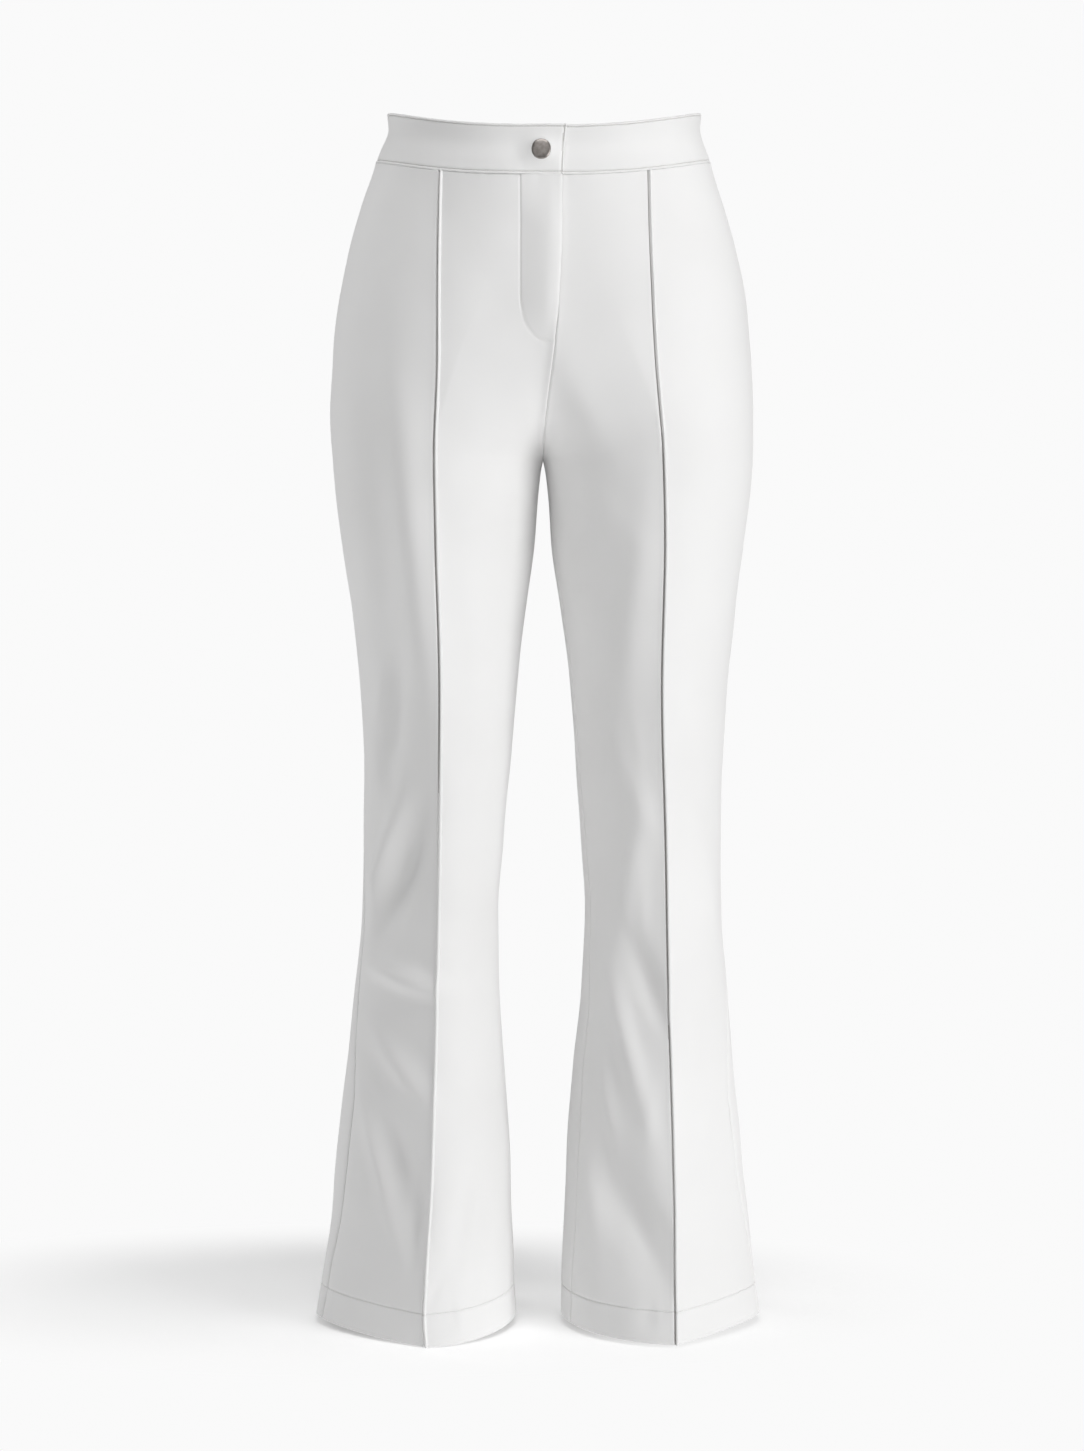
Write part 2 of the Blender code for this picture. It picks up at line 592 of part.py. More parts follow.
def snap_cap():
    """The snap's domed cap, flat on the waistband's lap."""
    proud = -BAND_PROUD - LAP_LIFT
    turn = turn_at("right", np.array(SNAP_HEIGHT), -SNAP_X)
    seat = surface("right", SNAP_HEIGHT, turn, proud)
    above = surface("right", BAND_TOP / 2, turn, proud)
    up = above - seat
    lean = math.atan2(up[1], up[2])
    bm = bmesh.new()
    rings = []
    for row in SNAP_PROFILE:
        step = dict(zip(SNAP_COLUMNS, row))
        radius = step["radius_share"] * SNAP_RADIUS
        rise = step["rise_share"] * SNAP_RISE
        ring = []
        for i in range(SNAP_SIDES):
            angle = 2 * math.pi * i / SNAP_SIDES
            point = (radius * math.cos(angle), -rise, radius * math.sin(angle))
            ring.append(bm.verts.new(point))
        rings.append(ring)
    for ring, next_ring in zip(rings, rings[1:]):
        for i in range(SNAP_SIDES):
            j = (i + 1) % SNAP_SIDES
            bm.faces.new((ring[i], ring[j], next_ring[j], next_ring[i]))
    bm.faces.new(rings[0])
    bm.faces.new(rings[-1])
    cap = finish("snap_cap", bm, PEWTER, PEWTER_ROUGHNESS, PEWTER_METALLIC)
    cap.location = (float(seat[0]), float(seat[1]) - 2 * SEAM_GAP, float(seat[2]))
    cap.rotation_euler = (-lean, 0.0, 0.0)
    return cap


def build():
    for thing in list(bpy.data.objects):
        bpy.data.objects.remove(thing)
    for leg in ("right", "left"):
        front_panel(leg)
        back_panel(leg)
        waistband(leg)
    fly_underlap()
    snap_cap()


build()
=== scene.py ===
"""White flared softshell ski trousers, filled out with nobody in them.

Metres, +Z up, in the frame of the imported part: the front faces -Y and the wearer's left is
+X.  Every cloth piece is a fine shell on the garment surface that its solid was made from:

    height  the level of a row, before the waist and the hem dip at the front
    turn    the way round one half: 0 at the centre front or the inseam, a quarter turn at
            the side, half a turn at the centre back or the inseam again
    inset   the depth under the outer face of the cloth, so a negative inset stands proud
"""

import math

import bmesh
import bpy
import numpy as np
from mathutils import Matrix, Vector


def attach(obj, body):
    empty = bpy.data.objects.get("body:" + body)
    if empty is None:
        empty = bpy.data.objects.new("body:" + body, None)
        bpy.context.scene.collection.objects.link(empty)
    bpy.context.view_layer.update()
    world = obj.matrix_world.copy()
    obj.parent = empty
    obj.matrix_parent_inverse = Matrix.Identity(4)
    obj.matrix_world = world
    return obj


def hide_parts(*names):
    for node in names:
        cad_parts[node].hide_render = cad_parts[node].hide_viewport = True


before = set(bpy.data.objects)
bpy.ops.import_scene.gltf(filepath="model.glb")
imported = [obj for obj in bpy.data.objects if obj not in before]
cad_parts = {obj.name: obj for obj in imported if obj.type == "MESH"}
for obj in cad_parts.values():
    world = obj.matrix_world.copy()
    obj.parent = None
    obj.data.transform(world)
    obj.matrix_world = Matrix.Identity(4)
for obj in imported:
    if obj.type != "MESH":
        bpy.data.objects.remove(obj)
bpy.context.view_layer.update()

# How thick the cloth is, how wide the gap at a seam is, and how far the waistband stands
# out over the panels below it.
WALL = 0.0015
SEAM_GAP = 0.0003
HEM_WALL = 0.0028
HEM_TURN_UP = 0.028
BAND_WALL = 0.0025
BAND_PROUD = 0.0006

# Levels of the cut.
BAND_TOP = 0.022
BAND_SEAM = -0.021
PANEL_TOP = BAND_SEAM - SEAM_GAP / 2
FORK = -0.286
HEM = -1.055

# How far the level lines dip or rise at the front and the back.
WAIST_FRONT_DIP = 0.025
WAIST_DIP_FORM = 1.6
WAIST_BACK_RISE = 0.005
WAIST_DIP_ENDS = -0.160
HEM_DIP = {"right": 0.0064, "left": 0.0044}
HEM_DIP_FORM = 1.5
HEM_DIP_STARTS = -0.950

# Where the columns of the cloth start to wrap round the inside of each leg.
WRAP_STARTS = -0.150

# Where the front and the back stand out most at the waist, as a share of the way from the
# middle to the pintuck or to the middle of the leg.
PEAK_AT_WAIST = 0.20

# How far from the middle line the valley between the two halves is rounded out, and the
# height from which it is so in full, over the fork.
MIDDLE_ROUND = 0.012
MIDDLE_ROUND_FULL = -0.240
# How far from the middle line the two halves are evened out with each other.
MIDDLE_BLEND = 0.016

# The fly: the right front lies over the left one, inside a curved row of topstitching.  The
# row runs straight down from the waistband and then curves round to the front edge.
FLY_LINE = -0.0194
FLY_HEEL = 0.0110
FLY_STRAIGHT_ENDS = -0.147
FLY_ENDS = -0.1896
FLY_ROUND = 2.4
FLY_LIFT = WALL + SEAM_GAP
FLY_FADE_STARTS = -0.150

# The strip behind the fly.
UNDERLAP_REACH = 0.016
UNDERLAP_END = -0.135
UNDERLAP_SINKS = 0.0015
UNDERLAP_COLUMNS = 4

# How full the fly is over the zip, how far from its line it rises, its soft front roll, how
# much flatter it is at the waistband, and how deep its stitched line is, as a share of others.
FLY_FULLNESS = 0.0068
FLY_RISE_LENGTH = 0.024
FLY_EDGE_ROUND = 0.0125
FLY_EASES = 5
FLY_FLATTER_TOP = 0.35
FLY_GROOVE = 0.5

# How far the left front's edge runs in under the right one below the fly.
UNDER_EDGE = 0.0026
UNDER_EDGE_EASES = 0.0018

# The waistband's overlap at the front, either side of the centre.
LAP_REACH_TOP = 0.0198
LAP_REACH_SEAM = 0.0172
BAND_UNDERLAP_REACH = 0.027
LAP_MARGIN = 0.001
LAP_RAMP = 0.075
LAP_LIFT = BAND_WALL + SEAM_GAP
PAST_UNDERLAP = BAND_UNDERLAP_REACH + LAP_MARGIN
# How much of the band's lift the right front follows at its top, and where that ends.
FRONT_FOLLOWS = 0.0023
FRONT_FOLLOWS_WIDTH = 0.022
BAND_DRAPE_ENDS = -0.080

# The snap's cap, and its place on the waistband.
SNAP_HALF_WIDTH = 0.0084
SNAP_HALF_HEIGHT = 0.0093
SNAP_RISE = 0.0024
SNAP_X = -0.0015
SNAP_HEIGHT = 0.0

# Units, and the two sides: right and left are the wearer's, and the right one is at -X.
MILLIMETRE = 0.001
QUARTER = math.pi / 2
OTHER_LEG = {"right": "left", "left": "right"}
SIGN = {"right": -1.0, "left": 1.0}
MIRROR = np.array([-1.0, 1.0, 1.0])

# The turn to either side that gives the direction of the cloth, and the widest such turn.
NEAR_EDGE = 0.004
WIDE_TURN = 0.06
# The least length and area that are divided by, a distance out of reach of any form, and
# how often a search is halved.
LEAST_REACH = 1e-6
LEAST_AREA = 1e-12
OUTER_REACH = 1.0
HALVINGS = 30

# Outlines by height: the outer and the inner edge of each leg from the middle line, and how
# far the front and the back stand from it.  Above the fork an inner edge is under 0: it lies
# past the middle, where the two halves cut each other off, so the crotch seam runs under
# from front to back in a round curve.
SECTION_COLUMNS = ("height", "out_right", "out_left", "in_right", "in_left", "front", "back")
SECTION_ROWS = (
    (0.022, 0.138, 0.141, -3.5, -3.5, 0.095, 0.096),
    (0.008, 0.1395, 0.1425, -3.1, -3.1, 0.096, 0.0975),
    (-0.010, 0.1465, 0.1470, -2.6, -2.6, 0.100, 0.1025),
    (-0.021, 0.149, 0.149, -2.4, -2.4, 0.101, 0.104),
    (-0.060, 0.162, 0.161, -1.6, -1.6, 0.105, 0.113),
    (-0.100, 0.173, 0.172, -1.0, -1.0, 0.109, 0.121),
    (-0.150, 0.183, 0.182, -0.50, -0.50, 0.112, 0.127),
    (-0.200, 0.188, 0.186, -0.20, -0.20, 0.113, 0.127),
    (-0.240, 0.190, 0.188, -0.060, -0.060, 0.112, 0.122),
    (-0.286, 0.188, 0.187, 0.0002, 0.0002, 0.109, 0.114),
    (-0.310, 0.186, 0.186, 0.0036, 0.0038, 0.107, 0.109),
    (-0.360, 0.180, 0.179, 0.0078, 0.0078, 0.103, 0.102),
    (-0.420, 0.171, 0.172, 0.0160, 0.0160, 0.100, 0.097),
    (-0.480, 0.165, 0.166, 0.0228, 0.0237, 0.094, 0.090),
    (-0.550, 0.161, 0.162, 0.0285, 0.0290, 0.086, 0.082),
    (-0.620, 0.161, 0.160, 0.0352, 0.0340, 0.080, 0.077),
    (-0.690, 0.163, 0.161, 0.0405, 0.0378, 0.077, 0.077),
    (-0.760, 0.170, 0.166, 0.0396, 0.0345, 0.078, 0.080),
    (-0.830, 0.178, 0.172, 0.0350, 0.0268, 0.081, 0.084),
    (-0.900, 0.186, 0.179, 0.0300, 0.0216, 0.085, 0.088),
    (-0.970, 0.192, 0.186, 0.0280, 0.0190, 0.090, 0.092),
    (-1.020, 0.200, 0.192, 0.0262, 0.0165, 0.093, 0.095),
    (-1.055, 0.206, 0.197, 0.0238, 0.0163, 0.095, 0.097),
)

# The pintuck's place by height, and how sharply each front bends at it, on its outer side
# and towards the inseam: 0 is round and 1 is two flat flanks.
TUCK_COLUMNS = ("height", "tuck_right", "tuck_left", "crest_right", "crest_left", "crest_in")
TUCK_ROWS = (
    (0.022, 0.087, 0.091, 0.00, 0.00, 0.00),
    (-0.100, 0.089, 0.093, 0.00, 0.00, 0.00),
    (-0.200, 0.089, 0.097, 0.08, 0.08, 0.05),
    (-0.286, 0.092, 0.104, 0.15, 0.15, 0.10),
    (-0.360, 0.091, 0.106, 0.22, 0.22, 0.14),
    (-0.480, 0.088, 0.104, 0.32, 0.32, 0.18),
    (-0.620, 0.090, 0.108, 0.42, 0.42, 0.20),
    (-0.760, 0.093, 0.111, 0.50, 0.50, 0.20),
    (-0.900, 0.097, 0.115, 0.56, 0.60, 0.18),
    (-1.000, 0.1025, 0.117, 0.54, 0.66, 0.14),
    (-1.029, 0.1038, 0.117, 0.52, 0.67, 0.12),
    (-1.055, 0.1020, 0.117, 0.50, 0.68, 0.10),
)

# The seams by height: where the right front's edge crosses the middle, and how far round the
# leg the side seam and the inseams lie to the front of its outer and inner edges.
SEAM_COLUMNS = (
    "height", "front_edge", "side_right", "side_left", "inseam_right", "inseam_left")
SEAM_ROWS = (
    (0.022, 0.0165, 0.000, 0.000, 0.000, 0.000),
    (-0.090, 0.0157, 0.000, 0.000, 0.000, 0.000),
    (-0.150, 0.0135, 0.000, 0.000, 0.000, 0.000),
    (-0.188, 0.0103, 0.000, 0.000, 0.000, 0.000),
    (-0.286, 0.0000, 0.000, 0.000, 0.000, 0.000),
    (-0.300, 0.0000, 0.000, 0.000, 0.000, 0.000),
    (-0.380, 0.0000, 0.000, 0.000, 0.003, 0.016),
    (-0.600, 0.0000, 0.005, 0.000, 0.004, 0.020),
    (-0.690, 0.0000, 0.015, 0.002, 0.004, 0.022),
    (-0.760, 0.0000, 0.020, 0.009, 0.004, 0.026),
    (-0.800, 0.0000, 0.024, 0.019, 0.004, 0.028),
    (-0.860, 0.0000, 0.033, 0.028, 0.004, 0.031),
    (-0.910, 0.0000, 0.033, 0.026, 0.004, 0.033),
    (-0.950, 0.0000, 0.031, 0.023, 0.004, 0.034),
    (-1.005, 0.0000, 0.026, 0.010, 0.004, 0.034),
    (-1.055, 0.0000, 0.025, 0.004, 0.004, 0.034),
)

# How deep the notch beside each pintuck is by height, as a share of its full depth.
NOTCH_COLUMNS = ("height", "right", "left")
NOTCH_ROWS = (
    (0.022, 1.00, 0.90),
    (-0.150, 1.00, 0.95),
    (-0.300, 1.00, 1.00),
    (-0.540, 1.00, 1.00),
    (-0.600, 0.70, 1.00),
    (-0.670, 0.10, 1.00),
    (-0.950, 0.05, 0.80),
    (-1.055, 0.45, 0.90),
)

# Where a panel's folds start and have their full height, measured to the front or the back
# from the middle of its depth, and how far from the middle line they are full.
FOLD_FACE_STARTS = 0.010
FOLD_FACE_FULL = 0.035
FOLD_MIDDLE = 0.014

# The soft folds of each panel, in millimetres: the middle, as how far it is from the middle
# line and its level, how far they lean from the vertical (in degrees, the lower end outwards
# from the middle of the garment), half length, half width and rise.  A rise under 0 is a
# trough.
FOLD_COLUMNS = ("across", "height", "lean", "length", "width", "rise")
FOLDS = {
    ("right", "front"): (
        (109, -385, -6, 150, 17, 7.6),
        (140, -400, -4, 130, 14, -2.6),
        (145, -516, 8, 46, 8.5, 3.5),
        (131, -520, 8, 46, 8.5, -3),
        (141, -640, 17, 56, 9.5, 9.4),
        (121, -648, 18, 54, 12, -9.6),
        (121, -742, -74, 34, 11, 9.2),
        (126, -818, -40, 36, 12, 6.9),
        (147, -900, -15, 56, 8.5, 5.2),
        (127, -905, -15, 44, 14.5, -6.4),
        (109, -951, 8, 34, 8.5, -4.6),
        (70, -955, 8, 50, 9, -1.6),
        (50, -965, 10, 45, 8, -1.8),
        # small creases
        (141, -500, -6, 30, 6, 0.7),
        (136, -566, -20, 26, 5, -0.6),
        (122, -600, -50, 22, 5.5, 0.7),
        (131, -690, 20, 28, 5.5, 0.9),
        (116, -715, -36, 24, 6, -0.8),
        (108, -800, -40, 24, 6, -0.7),
        (148, -842, -30, 22, 6, 0.8),
        (136, -960, -24, 28, 6, 1),
        (120, -985, 18, 22, 6, 0.8),
        (86, -1004, -12, 20, 6.5, -0.7),
        (50, -990, 4, 30, 6, 0.6),
        (60, -300, 35, 50, 12, -0.9),
        (166, -1042, 6, 12, 7, -1.2),
        (134, -1044, -4, 12, 8, -1.2),
        (94, -1014, 30, 10, 5, -1.4),
        (72, -1040, -8, 12, 7, 1),
    ),
    ("left", "front"): (
        (76.5, -430, -7, 120, 16, 4),
        (40, -255, 28, 50, 15, 3),
        (76.5, -570, 23, 46, 11, 3.2),
        (76.5, -650, -8, 60, 13, 5.4),
        (73, -792, 14, 78, 10.5, 7),
        (92, -744, 21, 36, 10.5, -6.2),
        (57, -850, 8, 44, 7.5, 3),
        (74, -944, 27, 64, 18.5, -10.6),
        (42, -930, 5, 70, 10, 4.6),
        (142, -650, 17, 50, 11, 2.8),
        # small creases
        (56, -330, 40, 50, 11, 1),
        (64, -560, 12, 40, 7, -1),
        (83, -540, 6, 34, 6, 0.8),
        (68, -690, 20, 34, 6.5, -0.9),
        (88, -680, 0, 30, 5.5, 0.8),
        (80, -780, 14, 26, 6, -0.8),
        (56, -820, 4, 30, 6, 0.7),
        (94, -860, -8, 30, 6.5, 0.8),
        (104, -960, 30, 24, 6.5, -1),
        (80, -976, 34, 22, 6, 0.8),
        (135, -560, 12, 34, 8, 0.6),
        (140, -900, 6, 40, 8, 0.6),
        (58, -1040, 8, 12, 7, -1.2),
        (92, -1036, -6, 12, 8, -1.2),
        (150, -1040, 4, 12, 8, 0.8),
    ),
    ("right", "back"): (
        (76, -318, 62, 56, 11, -3.6),
        (84, -343, 60, 60, 11, 4.2),
        (108, -398, 46, 50, 10, -3.4),
        (124, -470, -8, 90, 15, 4),
        (98, -588, 66, 42, 9.5, -4.8),
        (101, -613, 62, 48, 10, 5),
        (113, -646, -48, 36, 9, -4),
        (126, -668, -40, 34, 9, 3.6),
        (116, -786, -14, 70, 11, 5.2),
        (135, -800, -12, 60, 10, -4.4),
        (92, -930, 10, 60, 12, 4.6),
        (111, -945, 12, 52, 10, -4.2),
        # small creases
        (50, -352, 66, 34, 7, -1),
        (88, -392, 58, 26, 6, -0.7),
        (110, -548, 66, 30, 6, 0.8),
        (78, -604, 78, 28, 6, 0.8),
        (122, -652, -58, 26, 6, -0.8),
        (96, -780, -30, 34, 7, 0.8),
        (132, -900, 10, 34, 7, -0.9),
        (70, -985, 20, 28, 7, 0.8),
    ),
    ("left", "back"): (
        (86, -332, 57, 50, 11, -3.4),
        (92, -357, 58, 54, 11, 4.2),
        (62, -392, 38, 44, 10, -3),
        (116, -455, -10, 80, 14, 3.6),
        (88, -604, 60, 46, 10, -4.6),
        (92, -630, 57, 48, 10, 4.8),
        (107, -672, -38, 38, 9, -4),
        (100, -766, 8, 64, 11, 5),
        (82, -782, 8, 58, 10, -4.4),
        (117, -905, -16, 52, 11, -4.4),
        (133, -912, -14, 50, 10, 4.6),
        (74, -962, 12, 46, 10, -3.4),
        # small creases
        (56, -364, 60, 34, 7, -1),
        (96, -402, 66, 26, 6, -0.7),
        (104, -562, 70, 30, 6, 0.8),
        (70, -624, 74, 28, 6, 0.8),
        (118, -672, -52, 26, 6, -0.8),
        (90, -800, -24, 34, 7, 0.8),
        (124, -925, 8, 34, 7, -0.9),
        (62, -990, 16, 28, 7, 0.8),
    ),
}

# Rows and columns of the fine shells, and their steps beside an edge, a stitched line, the
# fork and the pintuck.
ROW_STEP = 0.0040
FLY_ROW_STEP = 0.0008
CLOSEST_ROWS = 0.0003
EDGE_STEPS = (0.0, 0.0003, 0.0007, 0.0013, 0.0021, 0.0032)
GROOVE_STEPS = (0.0, 0.00035, 0.0007, 0.0012, 0.0022)
FORK_STEPS = (0.0, 0.0005, 0.0012, 0.0022, 0.0036, 0.0055, 0.0080, 0.0110, 0.0150)
TUCK_STEPS = (0.0003, 0.0006, 0.0009, 0.0012, 0.0015, 0.0018, 0.0021, 0.0025, 0.0034, 0.0048)
FRONT_INNER_COLUMNS = {"right": 78, "left": 40}
FLY_OUTSIDE_COLUMNS = 35
FRONT_OUTER_COLUMNS = 40
BACK_HALF_COLUMNS = 39

# How round the edges are at a seam, at a folded edge and along the waistband.
SEAM_ROLL = 0.0005
FOLD_ROLL = 0.0011
BAND_ROLL = 0.0011
# The soft valley that a seam pulls in.
SEAM_VALLEY = 0.0022
SEAM_VALLEY_WIDTH = 0.0016
# How deep the inseam's valley is on the front, as a share of the side seam's.
INSEAM_VALLEY = 0.3
# A stitched line's groove.
GROOVE_DEPTH = 0.0009
GROOVE_WIDTH = 0.0008
# How far the right front's folded edge stands up below the fly.
CENTRE_PROUD = 0.0008
CENTRE_PROUD_WIDTH = 0.0040
CENTRE_PROUD_ENDS = -0.266
# A faint line just over the hem's fold, and its depth as a share of a stitched line's.
HEM_FINE_LINE = 0.0034
HEM_FINE_SHARE = 1 / 3
# How far inside the waistband's edges its stitched lines run.
BAND_TOP_STITCH = 0.0019
BAND_SEAM_STITCH = 0.0023
LAP_END_STITCH = 0.0020
# Gathers along the stitched lines: their height, how far from a line they reach, how long
# they are, and the chance of each line.
PUCKER = 0.00016
PUCKER_REACH = 0.007
PUCKER_LENGTHS = (0.0088, 0.0110, 0.0143, 0.0231)
PUCKER_SEEDS = {"hem": 11, "top": 12, "band": 21}

# The pintuck's round welt, pressed towards the wearer's right, and the notch beside it.
WELT_HEIGHT = 0.0017
WELT_FAR_SIDE = 0.0017
WELT_NEAR_SIDE = 0.0009
WELT_FORM = 0.75
NOTCH_DEPTH = 0.0026
NOTCH_AT = 0.0018
NOTCH_NEAR = 0.0010
NOTCH_FAR = 0.0005
NOTCH_INSIDE = 0.0020
# The soft lip beyond the notch.
LIP_RISE = 0.0010
LIP_REACH = 0.0035
# How wide the painted shade in the pintuck's notch is and how far it is shifted, and how deep
# a line must be to take the darker cloth of painted shade.
SLIT_SHADE = 0.0011
SLIT_SHADE_SHIFT = 0.0003
PAINTED_SHADE_FROM = 0.66

# The soft mound of cloth under the snap, and how far round the snap the waistband is flat.
SNAP_MOUND = 0.0011
SNAP_MOUND_RADIUS = 0.0106
SNAP_MOUND_FORM = 8
SNAP_FLAT = 0.017
SNAP_FLAT_FORM = 4

# Stitches: their spacing, size, facets and uneven sizes.
STITCH_PITCH = 0.0025
STITCH_LENGTH = 0.0019
STITCH_THICKNESS = 0.00045
STITCH_SINK = 0.00006
STITCH_SEGMENTS = 6
STITCH_RINGS = 4
STITCH_SIZES = (0.90, 1.08)
FIRST_STITCH_SEED = 3
# How much of the fly's curve its stitches follow, and in how many steps.
FLY_STITCHED = 0.97
FLY_STITCH_STEPS = 60

# Slow waves in the cloth: how high and how long.
WAVE_SEED = 7
WAVE_HEIGHT = 0.00022
WAVE_LENGTHS = (0.045, 0.110)
WAVE_COUNT = 9

# How far the waistband draws in halfway up.
BAND_HOLLOW = 0.0034

# Bends sharper than these (degrees) show as edges.
CLOTH_SHARP = 60
SNAP_SHARP = 50

# Rows and columns of the waistband.
BAND_ROW_STEP = 0.0018
BAND_LAP_COLUMNS = 50
BAND_ROUND_COLUMNS = 128

# The snap's finer profile.
SNAP_FINE_SIDES = 72
SNAP_SQUARENESS = 0.016
SNAP_SEAT_GAP = 0.0003
SNAP_COLUMNS = ("radius_share", "rise_share")
SNAP_FINE_PROFILE = (
    (0.02, 0.92),
    (0.25, 0.915),
    (0.50, 0.89),
    (0.70, 0.83),
    (0.82, 0.75),
    (0.90, 0.64),
    (0.955, 0.50),
    (0.985, 0.36),
    (1.00, 0.20),
    (0.99, 0.08),
    (0.95, 0.00),
)

# The outer face's weave, and its fibres' height as a share of the weave's.
WEAVE_PITCH = 0.0006
FIBRE_SHARE = 0.6

# The materials.  Their tone goes from the first colour to the second between two stops of
# its noise, and their roughness is its least and how much the grain's noise adds to it.  A
# noise is its scale, detail and roughness, and a bump its strength and depth.
TONE_STOPS = (0.3, 0.7)
SOFTSHELL = {
    "tone": (7.0, 3.0, 0.5),
    "grain": (900.0, 2.0, 0.5),
    "rough": (0.66, 0.12),
    "relief": (900.0, 2.0, 0.5),
    "woven": True,
    "bump": (0.22, 0.00008),
    "shine": {"Sheen Weight": 0.12, "Sheen Roughness": 0.45, "Specular IOR Level": 0.32},
}
LOOKS = {
    "White softshell face": SOFTSHELL | {
        "colours": ((0.835, 0.832, 0.828), (0.875, 0.873, 0.870)),
    },
    # A darker copy of the face cloth, laid on the faces in stitched grooves and the pintuck's
    # notch: painted shade, not a tone the cloth has.
    "White softshell painted groove shade": SOFTSHELL | {
        "colours": ((0.60, 0.59, 0.58), (0.66, 0.65, 0.64)),
    },
    "Brushed softshell back": {
        "colours": ((0.70, 0.695, 0.685), (0.79, 0.785, 0.775)),
        "tone": (34.0, 5.0, 0.62),
        "grain": (520.0, 4.0, 0.7),
        "rough": (0.88, 0.08),
        "relief": (520.0, 4.0, 0.7),
        "woven": False,
        "bump": (0.5, 0.0004),
        "shine": {"Sheen Weight": 0.30, "Specular IOR Level": 0.15},
    },
    "White sewing thread": {
        "colours": ((0.76, 0.75, 0.74), (0.84, 0.83, 0.82)),
        "tone": (400.0, 2.0, 0.5),
        "grain": (400.0, 2.0, 0.5),
        "rough": (0.5, 0.1),
        "relief": (3000.0, 1.0, 0.5),
        "woven": False,
        "bump": (0.4, 0.00005),
        "shine": {},
    },
    "Brushed pewter": {
        "colours": ((0.255, 0.232, 0.218), (0.365, 0.338, 0.320)),
        "tone": (320.0, 3.0, 0.5),
        "grain": (1300.0, 3.0, 0.6),
        "rough": (0.24, 0.2),
        "relief": (1300.0, 3.0, 0.6),
        "woven": False,
        "bump": (0.55, 0.00025),
        "shine": {"Metallic": 0.85},
    },
}

# The floor: it takes shadows from near to far, measured from a shifted centre, and then glows.
FLOOR_HEIGHT = -1.0619
FLOOR_RADIUS = 3.0
FLOOR_SIDES = 96
FLOOR_NEAR = 0.14
FLOOR_FAR = 0.34
FLOOR_SHIFT = (0.09, -0.12, 0.0)
FLOOR_SPREAD = (0.6, 1.2, 1.0)
FLOOR_TONE = 0.94
FLOOR_GLOW = 0.26

# The camera, the light of the room and the lights.
BACKGROUND = 0.955
WHITE = (1.0, 1.0, 1.0, 1.0)
ROOM_LIGHT = 0.03
CAMERA_PLACE = (-0.0009, -2.4, -0.414)
CAMERA_PITCH = 2.57
CAMERA_LENS = 66.29
CAMERA_SENSOR = 36.0
SOFTBOX_TARGET = (0.0, 0.0, -0.5)
# Name, place, width and height, power.
SOFTBOXES = (
    ("key", (2.6, -1.9, -0.1), (1.4, 1.8), 53.0),
    ("front", (0.1, -2.4, 1.4), (1.8, 1.4), 7.0),
    ("top", (0.2, -0.9, 2.2), (1.8, 1.4), 33.0),
    ("rim", (-2.4, 0.9, 0.4), (1.2, 1.6), 22.0),
    ("left", (-2.7, -0.5, 0.2), (1.2, 1.6), 1.2),
    ("right", (2.8, 0.2, 0.2), (1.2, 1.6), 5.5),
    ("back", (0.5, 2.8, 0.5), (1.8, 1.8), 12.0),
)
SPOT_PLACE = (-1.3, -2.0, 0.5)
SPOT_TARGET = (-0.135, -0.08, -0.17)
SPOT_ANGLE = 22.0
SPOT_SOFTNESS = 0.35
SPOT_POWER = 24.0


class Table:
    """Sizes by height, read between the rows along smooth curves that never overshoot."""

    def __init__(self, columns, rows):
        ordered = np.array(sorted(rows))
        self.heights = ordered[:, 0]
        self.values = {name: ordered[:, i] for i, name in enumerate(columns)}
        self.slopes = {name: self.find_slopes(self.values[name]) for name in columns}

    def find_slopes(self, values):
        """Harmonic means of the slopes to either side, and level where those turn round."""
        steps = np.diff(values) / np.diff(self.heights)
        product = steps[:-1] * steps[1:]
        total = np.where(product > 0, steps[:-1] + steps[1:], 1.0)
        inner = np.where(product > 0, 2 * product / total, 0.0)
        return np.concatenate(([steps[0]], inner, [steps[-1]]))

    def read(self, name, height):
        height = np.clip(height, self.heights[0], self.heights[-1])
        low = np.clip(np.searchsorted(self.heights, height) - 1, 0, len(self.heights) - 2)
        span = self.heights[low + 1] - self.heights[low]
        t = (height - self.heights[low]) / span
        value = self.values[name]
        slope = self.slopes[name]
        start = value[low] * (1 + 2 * t) * (1 - t) ** 2 + slope[low] * span * t * (1 - t) ** 2
        end = value[low + 1] * t * t * (3 - 2 * t) + slope[low + 1] * span * t * t * (t - 1)
        return start + end


SECTIONS = Table(SECTION_COLUMNS, SECTION_ROWS)
TUCKS = Table(TUCK_COLUMNS, TUCK_ROWS)
SEAMS = Table(SEAM_COLUMNS, SEAM_ROWS)
NOTCHES = Table(NOTCH_COLUMNS, NOTCH_ROWS)


def ease(value, start, end):
    """Rises smoothly from 0 at start to 1 at end, whichever way they lie."""
    t = np.clip((value - start) / (end - start), 0.0, 1.0)
    return t * t * (3 - 2 * t)


def add(name, data):
    thing = bpy.data.objects.new(name, data)
    bpy.context.scene.collection.objects.link(thing)
    return thing


# ---------------------------------------------------------------- the garment's surface

def flank(distance, crest):
    """Depth of the front or back, 1 at its crest and 0 at the edge a distance of 1 away."""
    distance = np.clip(distance, 0.0, 1.0)
    return (1 - crest) * np.sqrt(1 - distance ** 2) + crest * (1 - distance)


